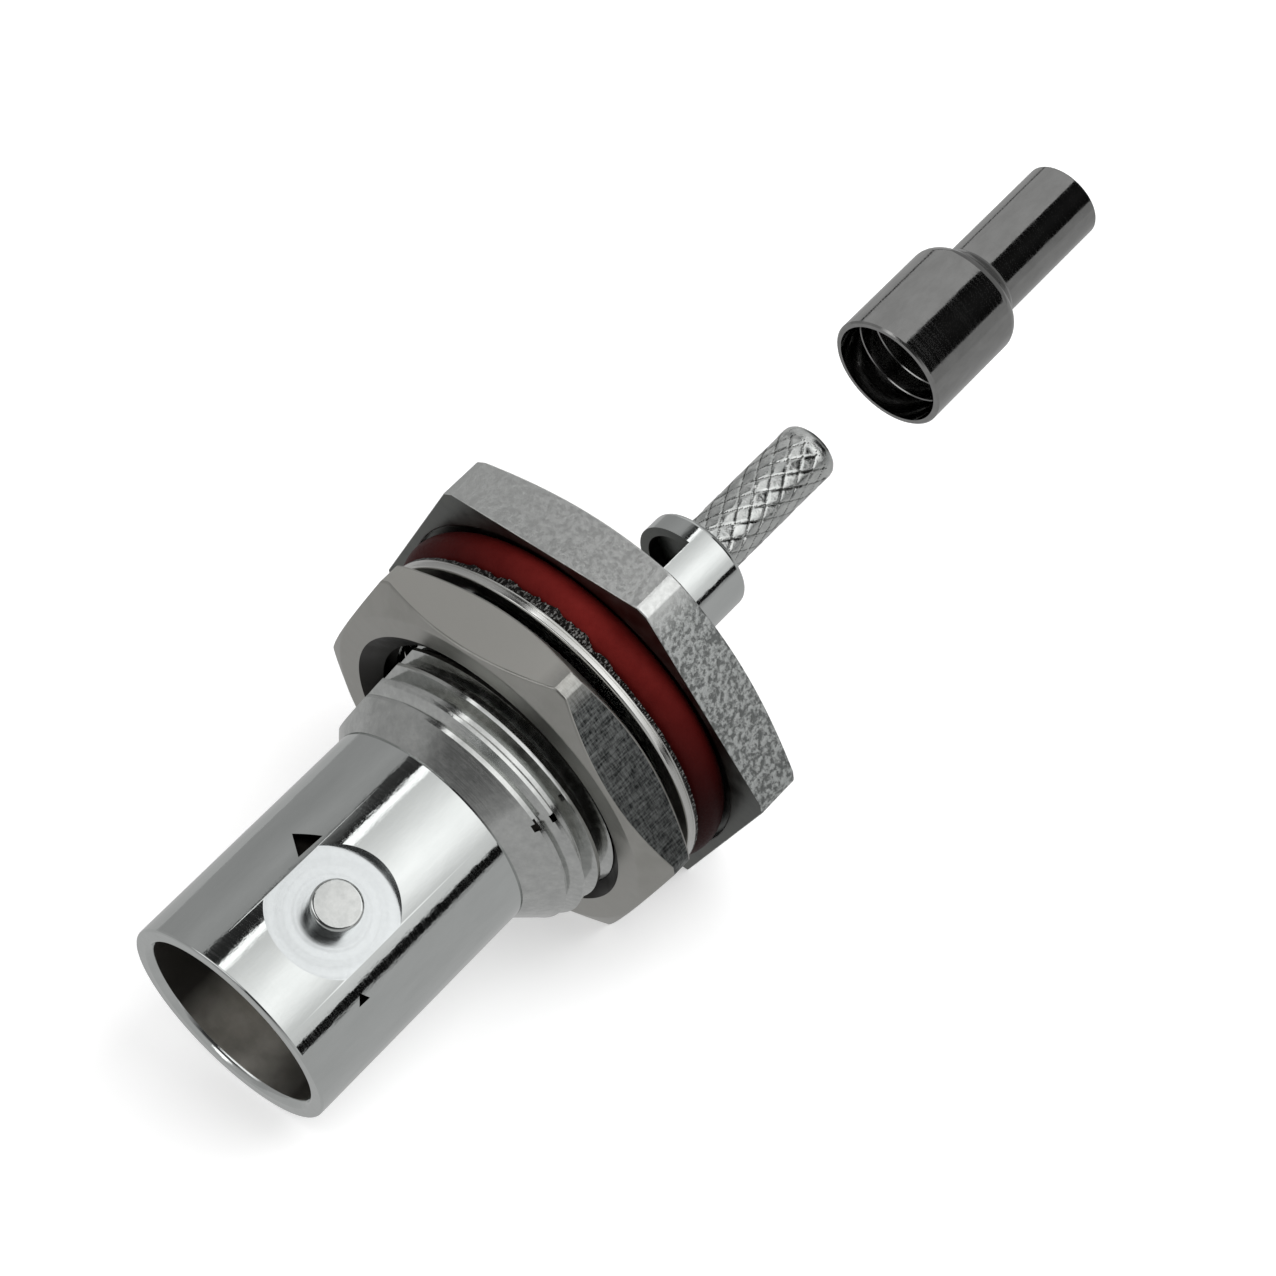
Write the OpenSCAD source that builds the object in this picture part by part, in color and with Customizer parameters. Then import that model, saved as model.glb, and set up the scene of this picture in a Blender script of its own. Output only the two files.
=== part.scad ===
// Panel-mount female bayonet coaxial jack for thin crimped cable, with its loose crimp ferrule.
// Millimetres. The connector's axis is Z, with the mouth up. The origin is at the middle of the
// flange's front face, which seats on the panel. A hexagon corner points to -Y.

/* [Bayonet barrel] */
// Outside diameter of the barrel
barrel_d = 9.65; // [9.4:0.05:10.2]
// Bore of the mouth that takes the plug
mouth_d = 8.1; // [7.8:0.05:8.5]
// Height of the mouth's rim above the flange's front face
mouth_z = 19.6; // [18.6:0.1:22]
// Length of the barrel from its rim to the cone
barrel_len = 11.3; // [10.5:0.1:12.2]
// Depth of the plug's bore
plug_depth = 8.5; // [7.5:0.1:9.2]
// Chamfer on both edges of the rim
rim_chamfer = 0.15; // [0.05:0.05:0.25]

/* [Bayonet studs] */
// Diameter of each stud
stud_d = 2.05; // [1.8:0.05:2.3]
// Distance across the two stud ends
stud_span = 11; // [10.6:0.1:11.6]
// Distance from the rim to the middle of a stud
stud_back = 4.65; // [4:0.05:5.5]
// Turn of the studs from the hexagon's corners, in degrees
stud_turn = 3; // [0:1:30]
// Diameter of the hollow-milled flat around each stud
spot_d = 5.2; // [4.4:0.1:6]
// Wall left between the hollow-milled flat and the mouth's bore
spot_wall = 0.275; // [0.2:0.025:0.4]

/* [Panel thread] */
// Outside diameter of the thread
thread_d = 12.6; // [12.2:0.05:12.9]
// Distance from one groove of the thread to the next
thread_pitch = 0.907; // [0.75:0.001:1]
// Depth of the thread's grooves
thread_depth = 0.55; // [0.3:0.05:0.6]
// Length of the cone between the barrel and the thread
cone_len = 1.15; // [0.6:0.05:1.6]
// Large diameter of the cone
cone_d = 11.7; // [11:0.05:12]
// Distance from the axis to the anti-turn flat
flat_reach = 5.26; // [5.1:0.02:5.8]

/* [Hexagon flange] */
// Width of the flange across its flats
flange_af = 17.5; // [17.2:0.1:20]
// Thickness of the flange
flange_t = 2.5; // [2.1:0.1:3.5]
// Slope of the chamfer on the flange's back, in degrees
flange_slope = 20; // [10:1:30]
// Amount worn off each corner of a hexagon
corner_trim = 0.15; // [0.05:0.05:0.3]
// Distance by which a hexagon's round face lies inside its flats
face_inset = 0.12; // [0.05:0.01:0.25]
// Depth of the sealing ring's seat in the front face
seat_depth = 0.3; // [0.1:0.05:0.5]

/* [Sealing ring] */
// Diameter of the sealing ring's round section
ring_section = 1.85; // [1.5:0.05:2]
// Clearance of the sealing ring around the thread, on the radius
ring_clear = 0.13; // [0.05:0.01:0.2]

/* [Lock washer] */
// Outside diameter of the lock washer
washer_d = 16.2; // [15.8:0.1:17]
// Width of the washer's rim
washer_rim = 0.9; // [0.7:0.05:1.1]
// Thickness of the washer
washer_t = 0.6; // [0.4:0.05:0.8]
// Number of inward teeth
tooth_count = 16; // [10:1:18]
// Width of one tooth
tooth_w = 1.5; // [1:0.1:1.6]
// Twist of each tooth out of the washer's plane, in degrees
tooth_twist = 14; // [4:1:15]
// Clearance of the teeth around the thread, on the radius
tooth_clear = 0.15; // [0.08:0.01:0.3]

/* [Panel nut] */
// Width of the nut across its flats
nut_af = 15.95; // [15.5:0.05:17]
// Thickness of the nut
nut_t = 2.38; // [2:0.02:3]
// Slope of the chamfers on the nut's faces, in degrees
nut_slope = 30; // [15:1:35]
// Width of the countersink at each end of the nut's bore
nut_sink = 0.6; // [0.3:0.05:0.8]
// Running clearance of the nut on the thread, on the radius
nut_clear = 0.06; // [0.03:0.01:0.1]
// Gap between the washer and the loosely turned nut
nut_gap = 0.38; // [0.3:0.02:1]

/* [Front insulator] */
// Diameter of the insulator's nose inside the mouth
nose_d = 4.8; // [4.4:0.05:5]
// Depth of the nose's face below the rim
nose_back = 3.4; // [3:0.1:4.5]
// Diameter of the insulator's body
insulator_d = 7.1; // [6.8:0.05:7.3]
// Thickness of the body's lip that holds the insulator
lip_t = 0.6; // [0.4:0.05:1]
// Width of the lip that holds the insulator
lip_w = 0.5; // [0.3:0.05:0.7]
// Assembly clearance of the insulators, on the radius
insulator_clear = 0.03; // [0.02:0.01:0.06]

/* [Rear insulator] */
// Thickness of the rear insulator
rear_insulator_t = 1.3; // [0.8:0.1:2]

/* [Centre contact] */
// Diameter of the contact's socket
socket_d = 2.15; // [2.05:0.05:2.3]
// Bore of the socket that takes the plug's pin
pin_bore_d = 1.4; // [1.35:0.01:1.5]
// Depth of the socket's bore
pin_bore_depth = 5.2; // [4.5:0.1:6]
// Distance of the socket's end below the insulator's face
socket_back = 0.25; // [0.1:0.05:0.6]
// Width of the slots that make the socket springy
slot_w = 0.2; // [0.1:0.05:0.25]
// Diameter of the contact's collar
collar_d = 2.9; // [2.6:0.1:3.2]
// Length of the contact's collar
collar_len = 1.2; // [0.8:0.1:2]
// Diameter of the contact's tail
tail_d = 1.2; // [1.1:0.05:1.4]
// Reach of the tail behind the flange's back
tail_reach = 2.2; // [1:0.1:3.2]
// Bore of the solder cup in the tail
cup_d = 0.75; // [0.6:0.05:0.8]
// Depth of the solder cup
cup_depth = 1.8; // [1.2:0.1:2.5]

/* [Crimp body] */
// Diameter of the spigot pressed into the flange
spigot_d = 8; // [7.8:0.1:8.8]
// Length of the spigot
spigot_len = 1.5; // [1.2:0.1:1.9]
// Outside diameter of the neck
neck_d = 4.82; // [4.6:0.02:5]
// Length of the neck behind the flange
neck_len = 5.8; // [5.4:0.1:7]
// Wall of the neck
neck_wall = 0.45; // [0.35:0.05:0.55]
// Length of the closed ring at the neck's end
neck_ring = 1.05; // [0.8:0.05:1.6]
// Thickness of the neck's floor, between its bore and its end
neck_floor = 0.45; // [0.35:0.05:0.6]
// Distance from the axis to the window's cut
window_reach = 0.75; // [0.5:0.05:1.2]
// Land between the flange's back and the window
window_land = 0.3; // [0.1:0.05:0.6]
// Diameter of the knurled stem
stem_d = 2.7; // [2.6:0.02:2.8]
// Length of the stem behind the neck
stem_len = 7.2; // [6:0.1:9]
// Bore of the stem, for the cable's core
stem_bore_d = 1.65; // [1.5:0.05:1.8]
// Round on the neck's end
neck_round = 0.25; // [0.1:0.05:0.3]
// Round on the stem's tip
stem_round = 0.35; // [0.1:0.05:0.45]

/* [Crimp ferrule] */
// Running clearance of the ferrule's cup on the neck, on the radius
cup_clear = 0.08; // [0.05:0.01:0.15]
// Wall of the ferrule's cup
ferrule_cup_wall = 0.26; // [0.2:0.01:0.35]
// Distance by which the neck is longer than the cup's inside
cup_short = 0.7; // [0.4:0.1:1.5]
// Bore of the ferrule's tube
ferrule_bore_d = 3.1; // [3:0.05:3.3]
// Wall of the ferrule's tube
ferrule_tube_wall = 0.3; // [0.2:0.01:0.35]
// Length of the ferrule's outside taper
ferrule_taper = 1; // [0.8:0.05:1.4]
// Length of the ferrule's tube behind the taper
ferrule_tube_len = 6.4; // [5:0.1:9]
// Gap between the stem's tip and the loose ferrule
ferrule_gap = 5.1; // [2:0.1:12]

/* [Hidden] */
$fn = 96;
tiny = 0.01;

// Barrel, cone and thread
barrel_r = barrel_d / 2;
mouth_r = mouth_d / 2;
thread_r = thread_d / 2;
cone_top_z = mouth_z - barrel_len;
thread_top_z = cone_top_z - cone_len;
groove_open = thread_pitch * 0.4375;
groove_floor = thread_pitch * 0.1;
groove_top_z = thread_top_z - (thread_r - cone_d / 2) - groove_open;
stud_z = mouth_z - stud_back;
spot_r = mouth_r + spot_wall;
stud_edge = 0.15;

// Seat, sealing ring, washer and nut, stacked up from the flange's front face
ring_r = thread_r + ring_clear + ring_section / 2;
seat_wall = 0.05;
seat_r = ring_r + ring_section / 2 + seat_wall;
ring_z = ring_section / 2 - seat_depth;
ring_top_z = ring_section - seat_depth;
washer_gap = 0.05;
washer_z = ring_top_z + washer_gap;
washer_r = washer_d / 2;
washer_in_r = washer_r - washer_rim;
tooth_tip_r = thread_r + tooth_clear;
tooth_root_r = washer_in_r + washer_rim / 4;
tooth_t = washer_t * 0.7;
tooth_z = washer_z + (tooth_w * sin(tooth_twist) + tooth_t * cos(tooth_twist)) / 2;
burr_w = 0.12;
burr_t = 0.2;
nut_z = washer_z + washer_t + nut_gap;
nut_bore_r = thread_r + nut_clear;

// Bores of the body, from the mouth to the back
shoulder_z = mouth_z - plug_depth;
insulator_r = insulator_d / 2;
insulator_top_z = shoulder_z - lip_t;
lip_r = insulator_r - lip_w;
flange_back_z = -flange_t;
spigot_r = spigot_d / 2;
spigot_top_z = flange_back_z + spigot_len;
spigot_bore_r = spigot_r + insulator_clear / 2;
rear_bore_top_z = spigot_top_z + rear_insulator_t;
insulator_bore_r = insulator_r + insulator_clear;

// Contact
nose_z = mouth_z - nose_back;
socket_z = nose_z - socket_back;
socket_r = socket_d / 2;
collar_top_z = rear_bore_top_z + collar_len;
tail_r = tail_d / 2;
tail_end_z = flange_back_z - tail_reach;

// Crimp body
neck_r = neck_d / 2;
neck_bore_r = neck_r - neck_wall;
neck_end_z = flange_back_z - neck_len;
neck_bore_end_z = neck_end_z + neck_floor;
window_end_z = neck_end_z + neck_ring;
stem_r = stem_d / 2;
stem_end_z = neck_end_z - stem_len;

// Ferrule
cup_r = neck_r + cup_clear;
ferrule_r = cup_r + ferrule_cup_wall;
ferrule_depth = neck_len - cup_short;
tube_bore_r = ferrule_bore_d / 2;
tube_r = tube_bore_r + ferrule_tube_wall;
ferrule_rim_z = stem_end_z - ferrule_gap;
cup_floor_z = ferrule_rim_z - ferrule_depth;
taper_end_z = cup_floor_z - ferrule_taper;
ferrule_end_z = taper_end_z - ferrule_tube_len;
ferrule_edge = 0.08;
ferrule_shoulder_round = 0.3;

nickel = "silver";
dark_nickel = "dimgray";

// A ring turned around the axis: outer and inner radius, bottom and top.
module ring(outer_r, inner_r, z0, z1) {
    translate([0, 0, z0]) {
        difference() {
            cylinder(r = outer_r, h = z1 - z0);
            translate([0, 0, -tiny]) {
                cylinder(r = inner_r, h = z1 - z0 + 2 * tiny);
            }
        }
    }
}

// A round hole or plug between two heights.
module round_bar(r, z0, z1) {
    translate([0, 0, z0]) {
        cylinder(r = r, h = z1 - z0);
    }
}

// A hexagon with a corner at -Y, whose faces are chamfered down to a round just inside the flats.
module hexagon(af, thick, slope_low, slope_high) {
    point_r = af / 2 / cos(30);
    face_r = af / 2 - face_inset;
    corner_r = point_r - corner_trim;
    low = (corner_r - face_r) * tan(slope_low);
    high = (corner_r - face_r) * tan(slope_high);
    intersection() {
        rotate([0, 0, 30]) {
            cylinder(r = point_r, h = thick, $fn = 6);
        }
        rotate_extrude() {
            polygon([
                [0, 0],
                [face_r, 0],
                [corner_r, low],
                [corner_r, thick - high],
                [face_r, thick],
                [0, thick]
            ]);
        }
    }
}

// A cylinder lying along -Y from the axis, for the studs and the milling around them.
module across(r, from_y, to_y) {
    translate([0, -from_y, stud_z]) {
        rotate([90, 0, 0]) {
            cylinder(r = r, h = to_y - from_y);
        }
    }
}

// Barrel, cone and thread as one turned outline.
module turned_outside() {
    rotate_extrude() {
        polygon([
            [0, flange_back_z / 2],
            [thread_r, flange_back_z / 2],
            [thread_r, thread_top_z - (thread_r - cone_d / 2)],
            [cone_d / 2, thread_top_z],
            [barrel_r, cone_top_z],
            [barrel_r, mouth_z - rim_chamfer],
            [barrel_r - rim_chamfer, mouth_z],
            [0, mouth_z]
        ]);
    }
}

// Grooves of the panel thread, as plain rings one pitch apart.
module thread_grooves() {
    rotate_extrude() {
        for (z = [thread_pitch * 0.75 : thread_pitch : groove_top_z]) {
            polygon([
                [thread_r + tiny, z - groove_open],
                [thread_r + tiny, z + groove_open],
                [thread_r, z + groove_open],
                [thread_r - thread_depth, z + groove_floor],
                [thread_r - thread_depth, z - groove_floor],
                [thread_r, z - groove_open]
            ]);
        }
    }
}

// Milling around one stud, which leaves a flat and the stud.
module stud_milling() {
    difference() {
        across(spot_d / 2, spot_r, stud_span);
        across(stud_d / 2, spot_r - tiny, stud_span + tiny);
    }
}

// One stud with a small chamfer at its end.
module stud() {
    across(stud_d / 2, mouth_r + spot_wall / 2, stud_span / 2 - stud_edge);
    translate([0, -stud_span / 2 + stud_edge, stud_z]) {
        rotate([90, 0, 0]) {
            cylinder(r1 = stud_d / 2, r2 = stud_d / 2 - stud_edge, h = stud_edge);
        }
    }
}

// Every bore of the body, from the mouth through to the back.
module body_bores() {
    round_bar(mouth_r, shoulder_z, mouth_z + tiny);
    translate([0, 0, mouth_z - rim_chamfer]) {
        cylinder(r1 = mouth_r, r2 = mouth_r + rim_chamfer + tiny, h = rim_chamfer + tiny);
    }
    round_bar(lip_r, insulator_top_z - tiny, shoulder_z + tiny);
    round_bar(insulator_bore_r, rear_bore_top_z - tiny, insulator_top_z);
    round_bar(spigot_bore_r, flange_back_z - tiny, rear_bore_top_z);
}

// The flat milled along one side of the thread.
module thread_flat() {
    flat_top_z = cone_top_z + tiny;
    translate([flat_reach, -thread_r, 0]) {
        cube([thread_r, thread_d, flat_top_z]);
    }
}

// Barrel, thread and flange, turned from one bar.
module body_shell() {
    color(nickel)
    difference() {
        union() {
            difference() {
                turned_outside();
                thread_grooves();
                thread_flat();
                for (side = [0, 180]) {
                    rotate([0, 0, stud_turn + side]) stud_milling();
                }
            }
            difference() {
                translate([0, 0, flange_back_z]) {
                    hexagon(flange_af, flange_t, flange_slope, 0);
                }
                ring(seat_r, thread_r, -seat_depth, tiny);
            }
            for (side = [0, 180]) {
                rotate([0, 0, stud_turn + side]) stud();
            }
        }
        body_bores();
    }
}

// Bore of the front insulator around the contact's socket, and the seat for its collar.
module contact_hole() {
    round_bar(socket_r + insulator_clear, rear_bore_top_z - tiny, nose_z + tiny);
    round_bar(collar_d / 2 + insulator_clear, rear_bore_top_z - tiny, collar_top_z + insulator_clear);
}

// Plastic insulator with a nose that stands in the mouth.
module front_insulator() {
    color("whitesmoke")
    difference() {
        union() {
            round_bar(nose_d / 2, insulator_top_z - tiny, nose_z);
            round_bar(insulator_r, rear_bore_top_z, insulator_top_z);
        }
        contact_hole();
    }
}

// Springy socket, collar and solder cup, turned as one contact.
module centre_contact() {
    color("gold")
    difference() {
        union() {
            round_bar(socket_r, collar_top_z - tiny, socket_z);
            round_bar(collar_d / 2, rear_bore_top_z, collar_top_z);
            round_bar(tail_r, tail_end_z, rear_bore_top_z + tiny);
        }
        round_bar(pin_bore_d / 2, socket_z - pin_bore_depth, socket_z + tiny);
        for (turn = [45, 135]) {
            rotate([0, 0, turn]) {
                translate([-socket_d, -slot_w / 2, socket_z - pin_bore_depth * 0.8]) {
                    cube([2 * socket_d, slot_w, pin_bore_depth]);
                }
            }
        }
        round_bar(cup_d / 2, tail_end_z - tiny, tail_end_z + cup_depth);
        translate([0, -tail_r, tail_end_z - tiny]) {
            cube([tail_d, tail_d, cup_depth / 2]);
        }
    }
}

// Plastic washer between the front insulator and the crimp body.
module rear_insulator() {
    color("whitesmoke")
    ring(spigot_r, tail_r + insulator_clear, spigot_top_z, rear_bore_top_z);
}

// Outline of the neck and the stem, with their rounded ends.
module crimp_outline() {
    difference() {
        polygon([
            [0, spigot_top_z],
            [spigot_r, spigot_top_z],
            [spigot_r, flange_back_z],
            [neck_r, flange_back_z],
            [neck_r, neck_end_z],
            [stem_r, neck_end_z],
            [stem_r, stem_end_z],
            [0, stem_end_z]
        ]);
        round_corner(neck_r, neck_end_z, neck_round);
        round_corner(stem_r, stem_end_z, stem_round);
    }
}

// What a round takes off a lower outside corner of a turned outline.
module round_corner(r, z, round_r) {
    difference() {
        translate([r - round_r, z - tiny]) {
            square([round_r + tiny, round_r + tiny]);
        }
        translate([r - round_r, z + round_r]) {
            circle(r = round_r, $fn = 32);
        }
    }
}

// Window cut into the neck, for soldering the cable's core to the contact.
module neck_window() {
    window_top_z = flange_back_z - window_land;
    translate([window_reach, -neck_d, window_end_z]) {
        cube([neck_d, 2 * neck_d, window_top_z - window_end_z]);
    }
}

// Spigot, windowed neck and knurled stem, turned as one piece and pressed into the flange.
module crimp_body() {
    color(nickel)
    difference() {
        rotate_extrude() {
            crimp_outline();
        }
        round_bar(neck_bore_r, neck_bore_end_z, spigot_top_z + tiny);
        round_bar(stem_bore_d / 2, stem_end_z - tiny, neck_bore_end_z + tiny);
        neck_window();
    }
}

// Rubber sealing ring of round section.
module sealing_ring() {
    color("darkred")
    translate([0, 0, ring_z]) {
        rotate_extrude() {
            translate([ring_r, 0]) circle(d = ring_section, $fn = 48);
        }
    }
}

// One inward tooth of the lock washer, twisted out of its plane.
module washer_tooth() {
    translate([0, 0, tooth_z]) {
        rotate([tooth_twist, 0, 0]) {
            translate([0, -tooth_w / 2, -tooth_t / 2]) {
                cube([tooth_root_r, tooth_w, tooth_t]);
            }
        }
    }
}

// Outline of the washer's rim, with the stamping's torn edge below.
module washer_rim_outline() {
    polygon([
        [washer_in_r, washer_z],
        [washer_r - burr_w, washer_z],
        [washer_r, washer_z + burr_t],
        [washer_r, washer_z + washer_t],
        [washer_in_r, washer_z + washer_t]
    ]);
}

// Internal-tooth lock washer, stamped from sheet, with a torn edge on its lower side.
module lock_washer() {
    color(nickel)
    difference() {
        union() {
            rotate_extrude() {
                washer_rim_outline();
            }
            for (i = [0 : tooth_count - 1]) {
                rotate([0, 0, i * 360 / tooth_count]) washer_tooth();
            }
        }
        round_bar(tooth_tip_r, 0, nut_z);
    }
}

// Hexagon panel nut with chamfered faces and a countersunk bore.
module panel_nut() {
    color(nickel)
    translate([0, 0, nut_z]) {
        difference() {
            hexagon(nut_af, nut_t, nut_slope, nut_slope);
            translate([0, 0, -tiny]) {
                cylinder(r = nut_bore_r, h = nut_t + 2 * tiny);
                cylinder(r1 = nut_bore_r + nut_sink, r2 = nut_bore_r, h = nut_sink);
            }
            translate([0, 0, nut_t - nut_sink + tiny]) {
                cylinder(r1 = nut_bore_r, r2 = nut_bore_r + nut_sink, h = nut_sink);
            }
        }
    }
}

// Wall outline of the ferrule: a cup that fits the neck, a shoulder and a tube.
module ferrule_outline() {
    step_z = cup_floor_z - ferrule_tube_wall;
    difference() {
        polygon([
            [cup_r, ferrule_rim_z],
            [ferrule_r - ferrule_edge, ferrule_rim_z],
            [ferrule_r, ferrule_rim_z - ferrule_edge],
            [ferrule_r, step_z],
            [tube_r + ferrule_shoulder_round, taper_end_z + ferrule_shoulder_round / 2],
            [tube_r, taper_end_z - ferrule_shoulder_round],
            [tube_r, ferrule_end_z + ferrule_edge],
            [tube_r - ferrule_edge, ferrule_end_z],
            [tube_bore_r, ferrule_end_z],
            [tube_bore_r, cup_floor_z],
            [cup_r, cup_floor_z]
        ]);
        round_corner(ferrule_r, step_z, ferrule_shoulder_round);
    }
}

// Crimp ferrule that slides over the stem and the neck.
module crimp_ferrule() {
    color(dark_nickel)
    rotate_extrude() {
        ferrule_outline();
    }
}

body_shell();
front_insulator();
centre_contact();
rear_insulator();
crimp_body();
sealing_ring();
lock_washer();
panel_nut();
crimp_ferrule();
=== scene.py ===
# %% [markdown]
# # A panel-mount bayonet jack, dressed for its portrait
# The solids of this small coaxial connector come from a CAD model. Here each visible part gets the
# fine form that the real one has (a true screw thread, a knurl, soft edges) and its own finish.
# The first cell loads the solids as a fixed frame. Every new part takes its place from that frame.

# %% Load the frame
import math

import bmesh
import bpy
from mathutils import Matrix, Vector, noise


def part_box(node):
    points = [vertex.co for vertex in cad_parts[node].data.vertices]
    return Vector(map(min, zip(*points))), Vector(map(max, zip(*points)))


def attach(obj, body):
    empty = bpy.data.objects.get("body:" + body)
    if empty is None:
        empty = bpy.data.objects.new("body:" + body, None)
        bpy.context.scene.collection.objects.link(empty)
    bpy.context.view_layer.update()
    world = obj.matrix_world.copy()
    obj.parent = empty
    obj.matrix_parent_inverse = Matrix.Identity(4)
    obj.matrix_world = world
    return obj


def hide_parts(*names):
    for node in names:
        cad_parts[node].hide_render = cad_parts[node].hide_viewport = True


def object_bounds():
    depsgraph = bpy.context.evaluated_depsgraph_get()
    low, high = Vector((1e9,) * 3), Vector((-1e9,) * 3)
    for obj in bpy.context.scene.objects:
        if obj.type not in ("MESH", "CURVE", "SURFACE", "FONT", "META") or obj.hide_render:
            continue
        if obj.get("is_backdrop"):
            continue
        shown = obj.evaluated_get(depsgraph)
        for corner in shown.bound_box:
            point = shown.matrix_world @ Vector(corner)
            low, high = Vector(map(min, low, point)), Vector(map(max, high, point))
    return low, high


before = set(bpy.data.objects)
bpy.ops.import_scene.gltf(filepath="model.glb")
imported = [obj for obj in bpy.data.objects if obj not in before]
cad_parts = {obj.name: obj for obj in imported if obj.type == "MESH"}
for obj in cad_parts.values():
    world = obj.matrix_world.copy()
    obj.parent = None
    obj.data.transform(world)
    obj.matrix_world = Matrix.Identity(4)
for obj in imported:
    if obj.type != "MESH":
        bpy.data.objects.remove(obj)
cad_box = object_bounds()
scene = bpy.context.scene
scene.view_settings.view_transform = "Standard"
print("CAD nodes:", sorted(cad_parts))

# %% [markdown]
# ## Working in millimetres
# The parts are a few millimetres across, so they are drawn in millimetres and scaled to metres once,
# when they are finished. The heights and widths of the solids are read from the frame.

# %% Sizes read from the frame
MM = 0.001


def heights(node):
    """Lowest and highest point of a CAD node on the connector's axis, in millimetres."""
    low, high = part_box(node)
    return low.z / MM, high.z / MM


def half_width(node):
    """Reach of a CAD node from the axis towards +X, in millimetres."""
    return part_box(node)[1].x / MM


flange_back_z, mouth_z = heights("body_shell")
flange_flat = half_width("body_shell")
ring_low_z, ring_top_z = heights("sealing_ring")
ring_outer_r = half_width("sealing_ring")
washer_z = heights("lock_washer")[0]
washer_r = half_width("lock_washer")
nut_low_z, nut_top_z = heights("panel_nut")
nut_flat = half_width("panel_nut")
insulator_low_z, nose_z = heights("front_insulator")
insulator_r = half_width("front_insulator")
contact_low_z, socket_z = heights("centre_contact")
stem_end_z, spigot_top_z = heights("crimp_body")
spigot_r = half_width("crimp_body")
ferrule_end_z, ferrule_rim_z = heights("crimp_ferrule")
ferrule_r = half_width("crimp_ferrule")
print("Mouth to stem tip:", round(mouth_z - stem_end_z, 2), "mm")

# %% [markdown]
# ## Sizes of the turned body
# These are the driving sizes of a bayonet jack: the barrel that the plug slides over, the bore that
# it plugs into, and the panel thread with 28 turns to the inch.

# %% Driving sizes
barrel_r = 4.825
mouth_r = 4.05
rim_chamfer = 0.2
rim_edge = 0.06
cone_top_z = mouth_z - 11.3
cone_r = 5.85
cone_low_z = cone_top_z - 1.15
thread_r = 6.3
thread_pitch = 25.4 / 28
thread_depth = 0.55
thread_flat_x = 5.26
stud_r = 1.025
stud_reach = 5.5
stud_z = mouth_z - 4.65
stud_turn = math.radians(3)
spot_r = 2.6
spot_reach = mouth_r + 0.275
plug_floor_z = mouth_z - 8.5
insulator_bore_r = insulator_r + 0.03
spigot_bore_r = spigot_r + 0.015
seat_floor_z = ring_low_z
neck_r = 2.41
neck_bore_r = 1.96
neck_end_z = flange_back_z - 5.8
stem_r = 1.35
stem_bore_r = 0.825
print("Thread pitch:", round(thread_pitch, 3), "mm")

# %% [markdown]
# ## The camera
# The connector lies on a table with its mouth towards the lower left. In this frame the mouth points
# up, so the camera looks down at it by about 24 degrees and is rolled by about 135 degrees.

# %% Camera
camera_target = Vector((-0.52, 0.0, -3.7)) * MM
camera_elevation = math.radians(24.385)
camera_azimuth = math.radians(0.2)
camera_roll = math.radians(134.78)
camera_distance = 139.07 * MM

forward = Vector(
    (
        math.sin(camera_azimuth) * math.cos(camera_elevation),
        math.cos(camera_azimuth) * math.cos(camera_elevation),
        -math.sin(camera_elevation),
    )
)
level_right = forward.cross(Vector((0, 0, 1))).normalized()
level_up = level_right.cross(forward)
camera_up = level_up * math.cos(camera_roll) + level_right * math.sin(camera_roll)
camera_right = forward.cross(camera_up)

camera = bpy.data.objects.new("camera", bpy.data.cameras.new("camera"))
camera.data.sensor_width = 36
camera.data.lens = 97.05
camera.data.clip_start = 0.005
turn = Matrix((camera_right, camera_up, -forward)).transposed()
camera.matrix_world = Matrix.Translation(camera_target - forward * camera_distance) @ turn.to_4x4()
scene.collection.objects.link(camera)
scene.camera = camera
print("Camera stands at", [round(value / MM, 1) for value in camera.matrix_world.translation], "mm")

# %% [markdown]
# ## Helpers for making parts
# Most parts of a connector are turned on a lathe, so their outline is drawn once, as (radius, height)
# points, and spun round the axis. Corners are rounded in the outline, before the spin, because there
# it takes one short bevel. Milling and tapping are cuts, made with a Boolean as a real cutter would.

# %% Draw an outline and spin it
TURN_STEPS = 240


def outline(bm, points, rounds=()):
    """Draw a closed outline of (radius, height) points. rounds holds (point number, radius)."""
    corners = [bm.verts.new((r, 0, z)) for r, z in points]
    for here, there in zip(corners, corners[1:] + corners[:1]):
        bm.edges.new((here, there))
    for number, size in rounds:
        bmesh.ops.bevel(
            bm,
            geom=[corners[number]],
            offset=size,
            offset_type="OFFSET",
            affect="VERTICES",
            segments=4,
            profile=0.5,
            material=-1,
        )


def spin_round(bm, steps=TURN_STEPS):
    """Spin everything in the bmesh once round the Z axis, and close its seam and poles."""
    bmesh.ops.spin(
        bm,
        geom=bm.verts[:] + bm.edges[:],
        cent=(0, 0, 0),
        axis=(0, 0, 1),
        dvec=(0, 0, 0),
        angle=2 * math.pi,
        steps=steps,
        use_merge=True,
    )
    bmesh.ops.remove_doubles(bm, verts=bm.verts[:], dist=1e-5)
    bmesh.ops.recalc_face_normals(bm, faces=bm.faces[:])


def turned(points, rounds=(), steps=TURN_STEPS):
    """A bmesh of a turned part."""
    bm = bmesh.new()
    outline(bm, points, rounds)
    spin_round(bm, steps)
    return bm


# %% Make an object of a bmesh
def make_object(bm, name):
    """Put a bmesh, still in millimetres, into an object."""
    mesh = bpy.data.meshes.new(name)
    bm.to_mesh(mesh)
    bm.free()
    piece = bpy.data.objects.new(name, mesh)
    scene.collection.objects.link(piece)
    return piece


def apply_modifiers(piece):
    """Make what the modifiers show the piece's own mesh."""
    depsgraph = bpy.context.evaluated_depsgraph_get()
    shaped = bpy.data.meshes.new_from_object(piece.evaluated_get(depsgraph))
    piece.modifiers.clear()
    old = piece.data
    piece.data = shaped
    bpy.data.meshes.remove(old)


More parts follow.
